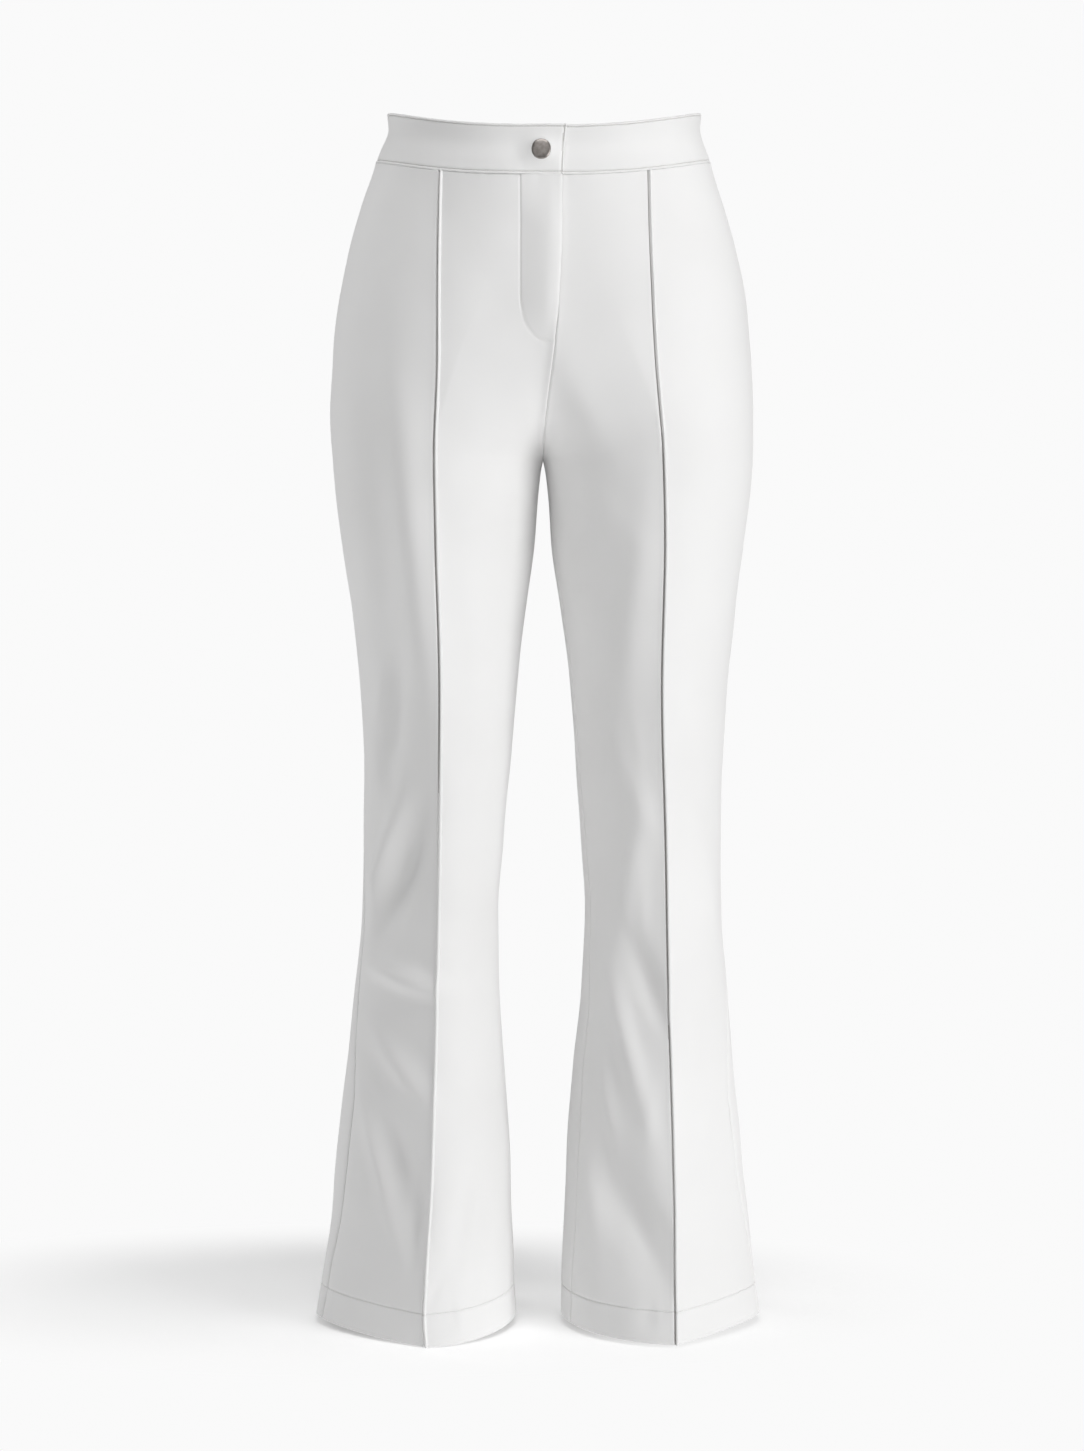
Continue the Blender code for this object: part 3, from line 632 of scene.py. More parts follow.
def lobe(turn, inner, outer, peak, depth, wrap, rounding, crest_in, crest_out):
    """The front or the back of one half, from the middle line or inseam to the side.

    It is two quarter ellipses that meet at the peak, flattened towards it by the crests, and
    cut off at the middle line, where the rounding takes out the kink.  The turn is shared
    out between them by about their lengths, with the inner one's depth counted by its wrap."""
    start = np.maximum(inner, 0.0)
    cut = np.arccos(np.clip((peak - start) / (peak - inner), -1.0, 1.0))
    inner_length = np.hypot(peak - start, depth * wrap)
    outer_length = np.hypot(outer - peak, depth)
    peak_turn = QUARTER * inner_length / (inner_length + outer_length)
    inwards = turn < peak_turn
    inner_angle = cut + (QUARTER - cut) * turn / peak_turn
    outer_angle = QUARTER * (turn - peak_turn) / (QUARTER - peak_turn)
    distance = np.where(inwards, np.cos(inner_angle), np.sin(outer_angle))
    x = peak + np.where(inwards, inner - peak, outer - peak) * distance
    rounding = rounding * np.sqrt(np.clip(1 - (x / peak) ** 2, 0.0, 1.0))
    distance = np.where(inwards, (peak - np.hypot(x, rounding)) / (peak - inner), distance)
    share = flank(distance, np.where(inwards, crest_in, crest_out))
    return x, share


def half_surface(leg, height, turn, inset):
    """Points of one half of the garment, before its folds."""
    height, turn, inset = np.broadcast_arrays(height, turn, inset)
    outer = SECTIONS.read("out_" + leg, height) - inset
    inner = SECTIONS.read("in_" + leg, height) + inset
    front = SECTIONS.read("front", height) - inset
    back = SECTIONS.read("back", height) - inset
    at_front = (turn < QUARTER) | (turn > math.pi)
    front_turn = np.where(turn > math.pi, turn - math.pi, np.minimum(turn, QUARTER))
    back_turn = np.clip(math.pi - turn, 0.0, QUARTER)
    wrap = ease(height, WRAP_STARTS, FORK)
    spread = PEAK_AT_WAIST + (1 - PEAK_AT_WAIST) * ease(height, BAND_SEAM, FORK)
    front_peak = spread * TUCKS.read("tuck_" + leg, height)
    back_peak = spread * (outer + np.maximum(inner, 0.0)) / 2
    rounding = MIDDLE_ROUND * ease(height, FORK, MIDDLE_ROUND_FULL)
    crest_in = TUCKS.read("crest_in", height)
    crest_out = TUCKS.read("crest_" + leg, height)
    front_x, front_share = lobe(
        front_turn, inner, outer, front_peak, front, wrap, rounding, crest_in, crest_out)
    back_x, back_share = lobe(
        back_turn, inner, outer, back_peak, back, wrap, rounding, 0.0, 0.0)
    x = np.where(at_front, front_x, back_x)
    share = np.where(at_front, front_share, back_share)
    y = np.where(at_front, -front, back) * share
    waist = ease(height, WAIST_DIP_ENDS, BAND_SEAM)
    waist_swing = np.where(at_front, -WAIST_FRONT_DIP, WAIST_BACK_RISE)
    waist_dip = waist_swing * share ** WAIST_DIP_FORM * waist
    hem_dip = -HEM_DIP[leg] * share ** HEM_DIP_FORM * ease(height, HEM_DIP_STARTS, HEM)
    z = height + waist_dip + hem_dip
    return np.stack([SIGN[leg] * x, y, z], axis=-1)


def bare_surface(leg, height, turn, inset):
    """The garment before its folds: a turn under 0 reaches over the other half."""
    height, turn, inset = np.broadcast_arrays(height, turn, inset)
    own = half_surface(leg, height, np.abs(turn), inset)
    other = half_surface(OTHER_LEG[leg], height, np.abs(turn), inset)
    across = (turn < 0)[..., None]
    here = np.where(across, other, own)
    mirrored = np.where(across, own, other) * MIRROR
    share = 0.5 - 0.5 * ease(np.abs(here[..., 0]), 0.0, MIDDLE_BLEND)
    share = share * ease(height, FORK, MIDDLE_ROUND_FULL)
    return here + (mirrored - here) * share[..., None]


def way_round(leg, height, turn, near=NEAR_EDGE):
    """The level direction along the section, and how far one radian of turn reaches."""
    ahead = bare_surface(leg, height, turn + near, 0.0)
    behind = bare_surface(leg, height, turn - near, 0.0)
    along = (ahead - behind)[..., :2]
    reach = np.maximum(np.linalg.norm(along, axis=-1), LEAST_REACH)
    return along / reach[..., None], reach / (2 * near)


def fold_rise(points):
    """How far the folds lift the cloth at each point."""
    x, y, z = points[..., 0], points[..., 1], points[..., 2]
    total = np.zeros(x.shape)
    for (leg, face), rows in FOLDS.items():
        out = SIGN[leg] * x
        side = -y if face == "front" else y
        shown = ease(side, FOLD_FACE_STARTS, FOLD_FACE_FULL) * ease(out, 0.0, FOLD_MIDDLE)
        for row in rows:
            fold = dict(zip(FOLD_COLUMNS, row))
            lean = math.radians(fold["lean"])
            across = out / MILLIMETRE - fold["across"]
            down = fold["height"] - z / MILLIMETRE
            along = (across * math.sin(lean) + down * math.cos(lean)) / fold["length"]
            aside = (across * math.cos(lean) - down * math.sin(lean)) / fold["width"]
            total += shown * fold["rise"] * np.exp(-along ** 2 - aside ** 2)
    return total * MILLIMETRE


def place_across(leg, height, turn):
    """How far from the middle line a turn lies, under 0 on the other half."""
    own = np.abs(half_surface(leg, height, np.abs(turn), 0.0)[..., 0])
    other = np.abs(half_surface(OTHER_LEG[leg], height, np.abs(turn), 0.0)[..., 0])
    return np.where(turn < 0, -other, own)


def turn_at(leg, height, across, face="front"):
    """The turn at which the front or the back lies so far across, on the leg's side.

    Across is measured from the middle line and is under 0 on the other half."""
    low = np.zeros(np.shape(height))
    high = np.full(np.shape(height), QUARTER)
    crossing = np.broadcast_to(across < 0, np.shape(height))
    for _ in range(HALVINGS):
        turn = (low + high) / 2
        way = turn if face == "front" else math.pi - turn
        place = place_across(leg, height, np.where(crossing, -way, way))
        short = np.abs(place) < np.abs(across)
        low = np.where(short, turn, low)
        high = np.where(short, high, turn)
    if face == "back":
        return math.pi - low
    return np.where(crossing, -low, low)


# ---------------------------------------------------------------- fine surface and seams

def waves(points):
    """Slow uneven waves of the cloth, about 1 high either way."""
    chance = np.random.default_rng(WAVE_SEED)
    total = np.zeros(points.shape[:-1])
    for _ in range(WAVE_COUNT):
        direction = chance.normal(size=3)
        direction /= np.linalg.norm(direction)
        length = chance.uniform(*WAVE_LENGTHS)
        phase = chance.uniform(0.0, 2 * math.pi)
        total += np.sin(points @ direction * 2 * math.pi / length + phase)
    return total * math.sqrt(2 / WAVE_COUNT)


def outwards(leg, height, turn):
    """The level direction away from the garment, even over the bend at the pintuck."""
    along, _ = way_round(leg, height, turn, np.clip(np.abs(turn), NEAR_EDGE, WIDE_TURN))
    level = np.zeros(along.shape[:-1])
    return SIGN[leg] * np.stack([along[..., 1], -along[..., 0], level], axis=-1)


def surface(leg, height, turn, inset):
    """Points of the garment with its folds and waves."""
    height, turn, inset = np.broadcast_arrays(height, turn, inset)
    face = bare_surface(leg, height, turn, 0.0)
    rise = fold_rise(face) + WAVE_HEIGHT * waves(face)
    points = bare_surface(leg, height, turn, inset)
    return points + rise[..., None] * outwards(leg, height, turn)


def fly_inside(height, across):
    """How far a point of the right front lies inside the fly's stitched line."""
    width = FLY_HEEL - FLY_LINE
    reach = np.maximum(FLY_HEEL - across, 0.0) / width
    drop = np.maximum(FLY_STRAIGHT_ENDS - height, 0.0) / (FLY_STRAIGHT_ENDS - FLY_ENDS)
    return width * (1 - (reach ** FLY_ROUND + drop ** FLY_ROUND) ** (1 / FLY_ROUND))


def fly_rise(height, across):
    """How far the right front stands off over the fly, with its soft roll to the edge."""
    share = np.maximum(fly_inside(height, across), 0.0) / FLY_RISE_LENGTH
    full = FLY_FULLNESS * share / (1 + share ** FLY_EASES) ** (1 / FLY_EASES)
    reach = SEAMS.read("front_edge", height) - across
    roll = np.sqrt(1 - np.clip(1 - reach / FLY_EDGE_ROUND, 0.0, 1.0) ** 2)
    over = FLY_LIFT * ease(height, FLY_ENDS, FLY_FADE_STARTS)
    full *= 1 - FLY_FLATTER_TOP * ease(height, BAND_DRAPE_ENDS, BAND_SEAM)
    return np.where(full > over, over + (full - over) * roll, full)


def groove(distance):
    """Depth of a stitched line at a distance from it."""
    return GROOVE_DEPTH * np.exp(-(distance / GROOVE_WIDTH) ** 2)


def rolled(distance, radius):
    """How far a rounded edge falls away at a distance from the edge."""
    share = np.clip(1 - distance / radius, 0.0, 1.0)
    return radius * (1 - np.sqrt(1 - share ** 2))


def valley(distance):
    """The soft valley that a seam pulls into the cloth."""
    return SEAM_VALLEY * np.exp(-(distance / SEAM_VALLEY_WIDTH) ** 2)


def puckers(line, along, distance):
    """Small uneven gathers that fade away from a stitched line."""
    chance = np.random.default_rng(PUCKER_SEEDS[line])
    total = np.zeros(along.shape)
    for length in PUCKER_LENGTHS:
        phase = chance.uniform(0.0, 2 * math.pi)
        total += np.sin(2 * math.pi * along / length + phase)
    return PUCKER * total / 2 * np.exp(-np.abs(distance) / PUCKER_REACH)


def welt(distance, notch):
    """The pintuck's round welt, and the notch on the side that it is pressed to."""
    side = np.where(distance > 0, WELT_FAR_SIDE, WELT_NEAR_SIDE)
    share = np.clip(np.abs(distance) / side, 0.0, 1.0)
    beyond = distance < -NOTCH_AT
    bottom = np.abs(distance + NOTCH_AT) / np.where(beyond, NOTCH_FAR, NOTCH_NEAR)
    lip = np.where(beyond, np.exp((distance + NOTCH_AT) / LIP_REACH), 0.0)
    slit = notch * np.exp(-bottom ** 2)
    round_top = WELT_HEIGHT * (1 - share ** 2) ** WELT_FORM
    return round_top - slit + LIP_RISE * notch / NOTCH_DEPTH * lip


def front_edge_turn(leg, levels):
    """Where a front panel's centre edge runs."""
    edge = SEAMS.read("front_edge", levels)
    if leg == "right":
        return turn_at("right", levels, -edge)
    edge = edge - UNDER_EDGE * ease(levels, FORK, CENTRE_PROUD_ENDS)
    return turn_at("left", levels, np.where(levels >= UNDERLAP_END, 0.0, edge))


def shifted(leg, levels, turn, arc):
    """The turn that lies so far round the garment from a turn."""
    _, reach = way_round(leg, levels, turn)
    return turn + arc / reach


def side_seam(leg, levels):
    to_front = SEAMS.read("side_" + leg, levels)
    return shifted(leg, levels, QUARTER, -to_front)


def inseam(leg, levels):
    """How far the inseam has turned to the front."""
    to_front = SEAMS.read("inseam_" + leg, levels)
    return shifted(leg, levels, NEAR_EDGE, to_front) - NEAR_EDGE


# ---------------------------------------------------------------- rows and columns

def spaced(start, end, step, marks):
    """Rows from start down to end: a step apart, closer round each mark, odd in number."""
    near = {start, end}
    for mark, offsets in marks:
        for offset in offsets:
            near.update((mark - offset, mark + offset))
    rows = [start]
    for level in sorted(near, reverse=True):
        if level < rows[-1] - CLOSEST_ROWS and level >= end:
            rows.append(level)
    rows[-1] = end
    even = []
    for high, low in zip(rows, rows[1:]):
        count = max(1, math.ceil((high - low) / step))
        even += [high + (low - high) * i / count for i in range(count)]
    even.append(end)
    if len(even) % 2 == 0:
        widest = int(np.argmax(-np.diff(even)))
        even.insert(widest + 1, (even[widest] + even[widest + 1]) / 2)
    return np.array(even)


def panel_rows(leg, face):
    """The rows of a leg panel, finer at its edges, its stitched lines and the fork."""
    marks = [(PANEL_TOP, EDGE_STEPS), (HEM, EDGE_STEPS), (FORK, FORK_STEPS)]
    marks.append((HEM + HEM_TURN_UP, GROOVE_STEPS))
    marks.append((HEM + HEM_FINE_LINE, GROOVE_STEPS[:2]))
    if (leg, face) == ("right", "front"):
        curve = np.arange(FLY_ENDS, FLY_STRAIGHT_ENDS, FLY_ROW_STEP)
        marks += [(level, (0.0,)) for level in curve]
    return spaced(PANEL_TOP, HEM, ROW_STEP, marks)


def edge_columns(leg, levels, start, end):
    """Close columns beside each of two edges."""
    first = [shifted(leg, levels, start, step) for step in EDGE_STEPS]
    last = [shifted(leg, levels, end, -step) for step in reversed(EDGE_STEPS)]
    return first, last


def back_columns(leg, levels, start, end):
    """The columns of a back leg, from the side seam to the centre back or the inseam."""
    first, last = edge_columns(leg, levels, start, end)
    half = turn_at(leg, levels, SECTIONS.read("out_" + leg, levels) / 2, "back")
    middle = between(first[-1], half, BACK_HALF_COLUMNS) + [half]
    middle += steady(leg, levels, half, last[0], BACK_HALF_COLUMNS, "back")
    return np.stack(first + middle + last, axis=1)


def front_columns(leg, levels, start, end):
    """The columns of a front leg, close together at the pintuck and the fly's stitches."""
    first, last = edge_columns(leg, levels, start, end)
    tuck = turn_at(leg, levels, TUCKS.read("tuck_" + leg, levels))
    steps = [-step for step in reversed(TUCK_STEPS)] + [0.0] + list(TUCK_STEPS)
    ridge = [shifted(leg, levels, tuck, step) for step in steps]
    count = FRONT_INNER_COLUMNS[leg]
    if leg == "left":
        inner = steady(leg, levels, first[-1], ridge[0], count)
    else:
        edge = place_across(leg, levels, start)
        width = place_across(leg, levels, tuck) - edge
        share = (-FLY_LINE - edge) / width
        lowest = share[int(np.argmin(np.abs(levels - FLY_STRAIGHT_ENDS)))]
        share = np.where(levels < FLY_STRAIGHT_ENDS, lowest, share)
        line = turn_at(leg, levels, edge + share * width)
        close = [-step for step in reversed(GROOVE_STEPS[1:])] + list(GROOVE_STEPS)
        sewn = [shifted(leg, levels, line, step) for step in close]
        inside_count = count - FLY_OUTSIDE_COLUMNS - len(sewn)
        inner = steady(leg, levels, first[-1], sewn[0], inside_count) + sewn
        inner += steady(leg, levels, sewn[-1], ridge[0], FLY_OUTSIDE_COLUMNS)
    outer = between(ridge[-1], last[0], FRONT_OUTER_COLUMNS)
    return np.stack(first + inner + ridge + outer + last, axis=1)


def between(start, end, count):
    """So many columns spread evenly between two, without them."""
    return [start + (end - start) * i / (count + 1) for i in range(1, count + 1)]


def steady(leg, levels, start, end, count, face="front"):
    """Columns between two: even round the leg, and over the fork placed as they are there."""
    first = place_across(leg, levels, start)
    last = place_across(leg, levels, end)
    fork = int(np.argmin(np.abs(levels - FORK)))
    columns = []
    for column in between(start, end, count):
        place = place_across(leg, levels, column)
        share = (place[fork] - first[fork]) / (last[fork] - first[fork])
        above = turn_at(leg, levels, first + share * (last - first), face)
        columns.append(np.where(levels > FORK, above, column))
    return columns


def way_along(points):
    """Distance from the first column, along each row."""
    steps = np.linalg.norm(np.diff(points, axis=1), axis=-1)
    return np.concatenate([np.zeros((len(points), 1)), np.cumsum(steps, axis=1)], axis=1)


def facing(leg, points):
    """Unit directions out of a grid of points."""
    down = np.gradient(points, axis=0)
    along = np.gradient(points, axis=1)
    out = np.cross(along, down) * -SIGN[leg]
    return out / np.maximum(np.linalg.norm(out, axis=-1, keepdims=True), LEAST_AREA)


# ---------------------------------------------------------------- cloth shells

def quads(grid):
    corners = (grid[:-1, :-1], grid[:-1, 1:], grid[1:, 1:], grid[1:, :-1])
    return np.stack(corners, axis=-1).reshape(-1, 4).tolist()


def shell(name, outer, inner, along, levels, painted_shade):
    """A closed cloth shell: a fine outer skin, one half as fine behind it, and their rim.

    Faces deep in a stitched groove or the pintuck's notch take a darker copy of the cloth:
    painted shade."""
    inner = inner[::2, ::2]
    points = np.concatenate([outer.reshape(-1, 3), inner.reshape(-1, 3)])
    face = np.arange(outer.shape[0] * outer.shape[1]).reshape(outer.shape[:2])
    behind = face.size + np.arange(inner.shape[0] * inner.shape[1]).reshape(inner.shape[:2])
    faces = quads(face) + quads(behind)
    skins = [len(quads(face)), len(quads(behind))]
    sides = ((face[0], behind[0]), (face[-1], behind[-1]))
    sides += ((face[:, 0], behind[:, 0]), (face[:, -1], behind[:, -1]))
    for edge, back_edge in sides:
        for i in range(len(back_edge) - 1):
            corners = list(edge[2 * i:2 * i + 3]) + [back_edge[i + 1], back_edge[i]]
            faces.append([int(corner) for corner in corners])
    mesh = bpy.data.meshes.new(name)
    mesh.from_pydata(points.tolist(), [], faces)
    heights = np.broadcast_to(levels[:, None], along.shape)
    flat = np.stack([along, heights], axis=-1)
    flat = np.concatenate([flat.reshape(-1, 2), flat[::2, ::2].reshape(-1, 2)])
    corners = np.empty(len(mesh.loops), dtype=np.int32)
    mesh.loops.foreach_get("vertex_index", corners)
    mesh.uv_layers.new(name="Cloth").data.foreach_set("uv", flat[corners].ravel())
    slots = np.zeros(len(faces), dtype=np.int32)
    slots[skins[0]:sum(skins)] = 1
    # Faces deep enough in a groove or the notch take the darker cloth in slot 2: painted
    # shade.
    depth = (painted_shade[:-1, :-1] + painted_shade[:-1, 1:] + painted_shade[1:, 1:] + painted_shade[1:, :-1]) / 4
    slots[:skins[0]] = np.where(depth.ravel() > PAINTED_SHADE_FROM, 2, 0)
    for material in (FACE_CLOTH, BACK_CLOTH, GROOVE_SHADE_CLOTH):
        mesh.materials.append(material)
    mesh.polygons.foreach_set("material_index", slots)
    bm = bmesh.new()
    bm.from_mesh(mesh)
    bmesh.ops.recalc_face_normals(bm, faces=bm.faces)
    bm.to_mesh(mesh)
    bm.free()
    mesh.shade_smooth()
    mesh.set_sharp_from_angle(angle=math.radians(CLOTH_SHARP))
    return add(name, mesh)


def panel_turns(leg, face, levels):
    """The turns of a leg panel's columns, between its seams."""
    if face == "back":
        start = shifted(leg, levels, side_seam(leg, levels), SEAM_GAP / 2)
        end = shifted(leg, levels, math.pi + inseam(leg, levels), -SEAM_GAP / 2)
        return back_columns(leg, levels, start, end)
    edge = front_edge_turn(leg, levels) + inseam(leg, levels)
    start = shifted(leg, levels, edge, SEAM_GAP / 2)
    end = shifted(leg, levels, side_seam(leg, levels), -SEAM_GAP / 2)
    return front_columns(leg, levels, start, end)


def front_rise(leg, heights, turns, folded):
    """How far a front stands off at the fly, and how far in it lies under the other one.

    It also gives how far inside the fly's stitched line each point lies."""
    across = bare_surface(leg, heights, turns, 0.0)[..., 0]
    if leg == "left":
        past = across - SEAMS.read("front_edge", heights)
        under = FLY_LIFT * (1 - ease(heights, FLY_ENDS, FLY_FADE_STARTS)) * folded
        return -under * ease(past, UNDER_EDGE_EASES, 0.0), np.full(turns.shape, -OUTER_REACH)
    inside = fly_inside(heights, across)
    lifted = ease(across, -BAND_UNDERLAP_REACH - LAP_RAMP, -BAND_UNDERLAP_REACH)
    lifted = lifted * ease(heights, BAND_DRAPE_ENDS, BAND_SEAM)
    lifted = lifted * (1 - ease(inside, 0.0, FRONT_FOLLOWS_WIDTH))
    return fly_rise(heights, across) + FRONT_FOLLOWS * lifted, inside


def leg_panel(leg, face):
    """A front or back leg with its seams, hem and pintuck.  Gives its shell and stitches."""
    levels = panel_rows(leg, face)
    turns = panel_turns(leg, face, levels)
    heights = np.broadcast_to(levels[:, None], turns.shape)
    rise = np.zeros(turns.shape)
    folded = np.zeros(turns.shape)
    painted_shade = np.zeros(turns.shape)
    if face == "front":
        folded = ease(heights, FORK, CENTRE_PROUD_ENDS)
        rise, inside = front_rise(leg, heights, turns, folded)
    smooth = surface(leg, heights, turns, -rise)
    along = way_along(smooth)
    from_end = along[:, -1:] - along
    relief = -rolled(from_end, SEAM_ROLL) - valley(from_end)
    relief -= rolled(along, SEAM_ROLL + (FOLD_ROLL - SEAM_ROLL) * folded)
    relief -= INSEAM_VALLEY * valley(along) * (1 - folded)
    relief -= rolled(PANEL_TOP - heights, SEAM_ROLL) + rolled(heights - HEM, FOLD_ROLL)
    hem_line = heights - HEM - HEM_TURN_UP
    relief -= groove(hem_line) + HEM_FINE_SHARE * groove(heights - HEM - HEM_FINE_LINE)
    relief += puckers("hem", along, hem_line) + puckers("top", along, PANEL_TOP - heights)
    if face == "front":
        relief -= FLY_GROOVE * groove(inside)
        tuck = len(EDGE_STEPS) + FRONT_INNER_COLUMNS[leg] + len(TUCK_STEPS)
        from_tuck = SIGN[leg] * (along - along[:, tuck:tuck + 1])
        notch = NOTCH_DEPTH * NOTCHES.read(leg, heights)
        relief += welt(from_tuck, notch)
        # Painted shade: the bottom of the notch beside the pintuck is marked for the darker
        # cloth.
        slit = notch * np.exp(-((from_tuck + NOTCH_AT - SLIT_SHADE_SHIFT) / SLIT_SHADE) ** 2)
        painted_shade = slit / NOTCH_DEPTH
        rise = rise - notch * np.exp(-((from_tuck + NOTCH_AT) / NOTCH_INSIDE) ** 2)
    if (leg, face) == ("right", "front"):
        relief += CENTRE_PROUD * np.exp(-(along / CENTRE_PROUD_WIDTH) ** 2) * folded
    out = facing(leg, smooth)
    outer = smooth + relief[..., None] * out
    thickness = np.where(heights < HEM + HEM_TURN_UP, HEM_WALL, WALL)
    inner = surface(leg, heights, turns, thickness - rise)
    name = face + "_" + leg
    thing = shell(name + "_cloth", outer, inner, along, levels, painted_shade)
    row = int(np.argmin(np.abs(levels - HEM - HEM_TURN_UP)))
    paths = [outer[row] + (STITCH_THICKNESS / 2 - STITCH_SINK) * out[row]]
    if (leg, face) == ("right", "front"):
        paths.append(fly_path())
    return thing, paths


def fly_path():
    """The curved line of stitches round the fly."""
    straight = np.arange(PANEL_TOP, FLY_STRAIGHT_ENDS, -FLY_ROW_STEP)
    width = FLY_HEEL - FLY_LINE
    angles = np.linspace(0.0, QUARTER * FLY_STITCHED, FLY_STITCH_STEPS)
    drop = np.sin(angles) ** (2 / FLY_ROUND)
    curve = FLY_STRAIGHT_ENDS - (FLY_STRAIGHT_ENDS - FLY_ENDS) * drop
    heights = np.concatenate([straight, curve])
    reach = np.concatenate([np.ones(straight.shape), np.cos(angles) ** (2 / FLY_ROUND)])
    across = FLY_HEEL - width * reach
    turns = turn_at("right", heights, -across)
    depth = FLY_GROOVE * GROOVE_DEPTH - STITCH_THICKNESS / 2 + STITCH_SINK
    return surface("right", heights, turns, depth - fly_rise(heights, across))


def band_columns(leg, levels):
    """The turns of a waistband half: its flat overlap, then round to the centre back."""
    if leg == "right":
        share = (levels - BAND_SEAM) / (BAND_TOP - BAND_SEAM)
        reach = LAP_REACH_SEAM + (LAP_REACH_TOP - LAP_REACH_SEAM) * share
        start = turn_at(leg, levels, -reach)
    else:
        start = turn_at(leg, levels, -BAND_UNDERLAP_REACH)
    ramp_ends = turn_at(leg, levels, PAST_UNDERLAP + LAP_RAMP)
    end = shifted(leg, levels, math.pi, -SEAM_GAP / 2)
    first, last = edge_columns(leg, levels, start, end)
    flat = between(first[-1], ramp_ends, BAND_LAP_COLUMNS)
    flat.append(ramp_ends)
    rest = between(ramp_ends, last[0], BAND_ROUND_COLUMNS)
    return np.stack(first + flat + rest + last, axis=1)


def waistband(leg):
    """Half of the waistband, with its rounded edges and stitched lines."""
    marks = [(BAND_TOP, EDGE_STEPS), (BAND_SEAM, EDGE_STEPS)]
    marks.append((BAND_TOP - BAND_TOP_STITCH, GROOVE_STEPS))
    marks.append((BAND_SEAM + BAND_SEAM_STITCH, GROOVE_STEPS))
    levels = spaced(BAND_TOP, BAND_SEAM, BAND_ROW_STEP, marks)
    turns = band_columns(leg, levels)
    heights = np.broadcast_to(levels[:, None], turns.shape)
    share = (heights - BAND_SEAM) / (BAND_TOP - BAND_SEAM)
    hollow = BAND_HOLLOW * 4 * share * (1 - share)
    if leg == "right":
        across = bare_surface(leg, heights, turns, 0.0)[..., 0]
        at_front = turns < QUARTER
        distance = np.hypot(across - SNAP_X, heights - SNAP_HEIGHT)
        distance = np.where(at_front, distance, OUTER_REACH)
        hollow *= 1 - np.exp(-(distance / SNAP_FLAT) ** SNAP_FLAT_FORM)
        over = ease(across, -PAST_UNDERLAP - LAP_RAMP, -PAST_UNDERLAP) * at_front
        lift = LAP_LIFT * over - hollow
    else:
        lift = -hollow
    smooth = surface(leg, heights, turns, -BAND_PROUD - lift)
    along = way_along(smooth)
    from_end = along[:, -1:] - along
    relief = -rolled(along, BAND_ROLL) - rolled(from_end, SEAM_ROLL) - valley(from_end)
    relief -= rolled(BAND_TOP - heights, BAND_ROLL) + rolled(heights - BAND_SEAM, SEAM_ROLL)
    top_line = BAND_TOP - BAND_TOP_STITCH - heights
    seam_line = heights - BAND_SEAM - BAND_SEAM_STITCH
    relief -= groove(top_line) + groove(seam_line)
    # Painted shade: the faces in the band's top, seam and lap-end stitched grooves are marked
    # for the darker cloth.
    painted_shade = np.maximum(groove(top_line), groove(seam_line))
    relief += puckers("band", along, seam_line)
    if leg == "right":
        end_line = groove(along - LAP_END_STITCH)
        mound = SNAP_MOUND * np.exp(-(distance / SNAP_MOUND_RADIUS) ** SNAP_MOUND_FORM)
        relief += mound - end_line
        painted_shade = np.maximum(painted_shade, end_line)
    out = facing(leg, smooth)
    outer = smooth + relief[..., None] * out
    inner = surface(leg, heights, turns, BAND_WALL - BAND_PROUD - lift)
    name = "waistband_" + leg
    painted_shade = painted_shade / GROOVE_DEPTH
    thing = shell(name + "_cloth", outer, inner, along, levels, painted_shade)
    proud = outer + (STITCH_THICKNESS / 2 - STITCH_SINK) * out
    first = int(np.argmin(np.abs(along[0] - LAP_END_STITCH))) if leg == "right" else 0
    top = int(np.argmin(np.abs(top_line[:, 0])))
    bottom = int(np.argmin(np.abs(seam_line[:, 0])))
    paths = [proud[top, first:], proud[bottom, first:]]
    if leg == "right":
        paths.append(proud[top:bottom + 1, first])
    return thing, paths


def fly_underlap():
    """The strip behind the fly, edge to edge with the left front."""
    levels = spaced(PANEL_TOP, UNDERLAP_END, ROW_STEP, [])
    shares = np.linspace(0.0, 1.0, 2 * UNDERLAP_COLUMNS + 1)
    reaches = [share * UNDERLAP_REACH + SEAM_GAP / 2 for share in shares]
    turns = np.stack([turn_at("right", levels, reach) for reach in reaches], axis=1)
    heights = np.broadcast_to(levels[:, None], turns.shape)
    outer = surface("right", heights, turns, UNDERLAP_SINKS)
    inner = surface("right", heights, turns, UNDERLAP_SINKS + WALL)
    along = way_along(outer)
    return shell("fly_underlap_cloth", outer, inner, along, levels, np.zeros(turns.shape))


# ---------------------------------------------------------------- the snap

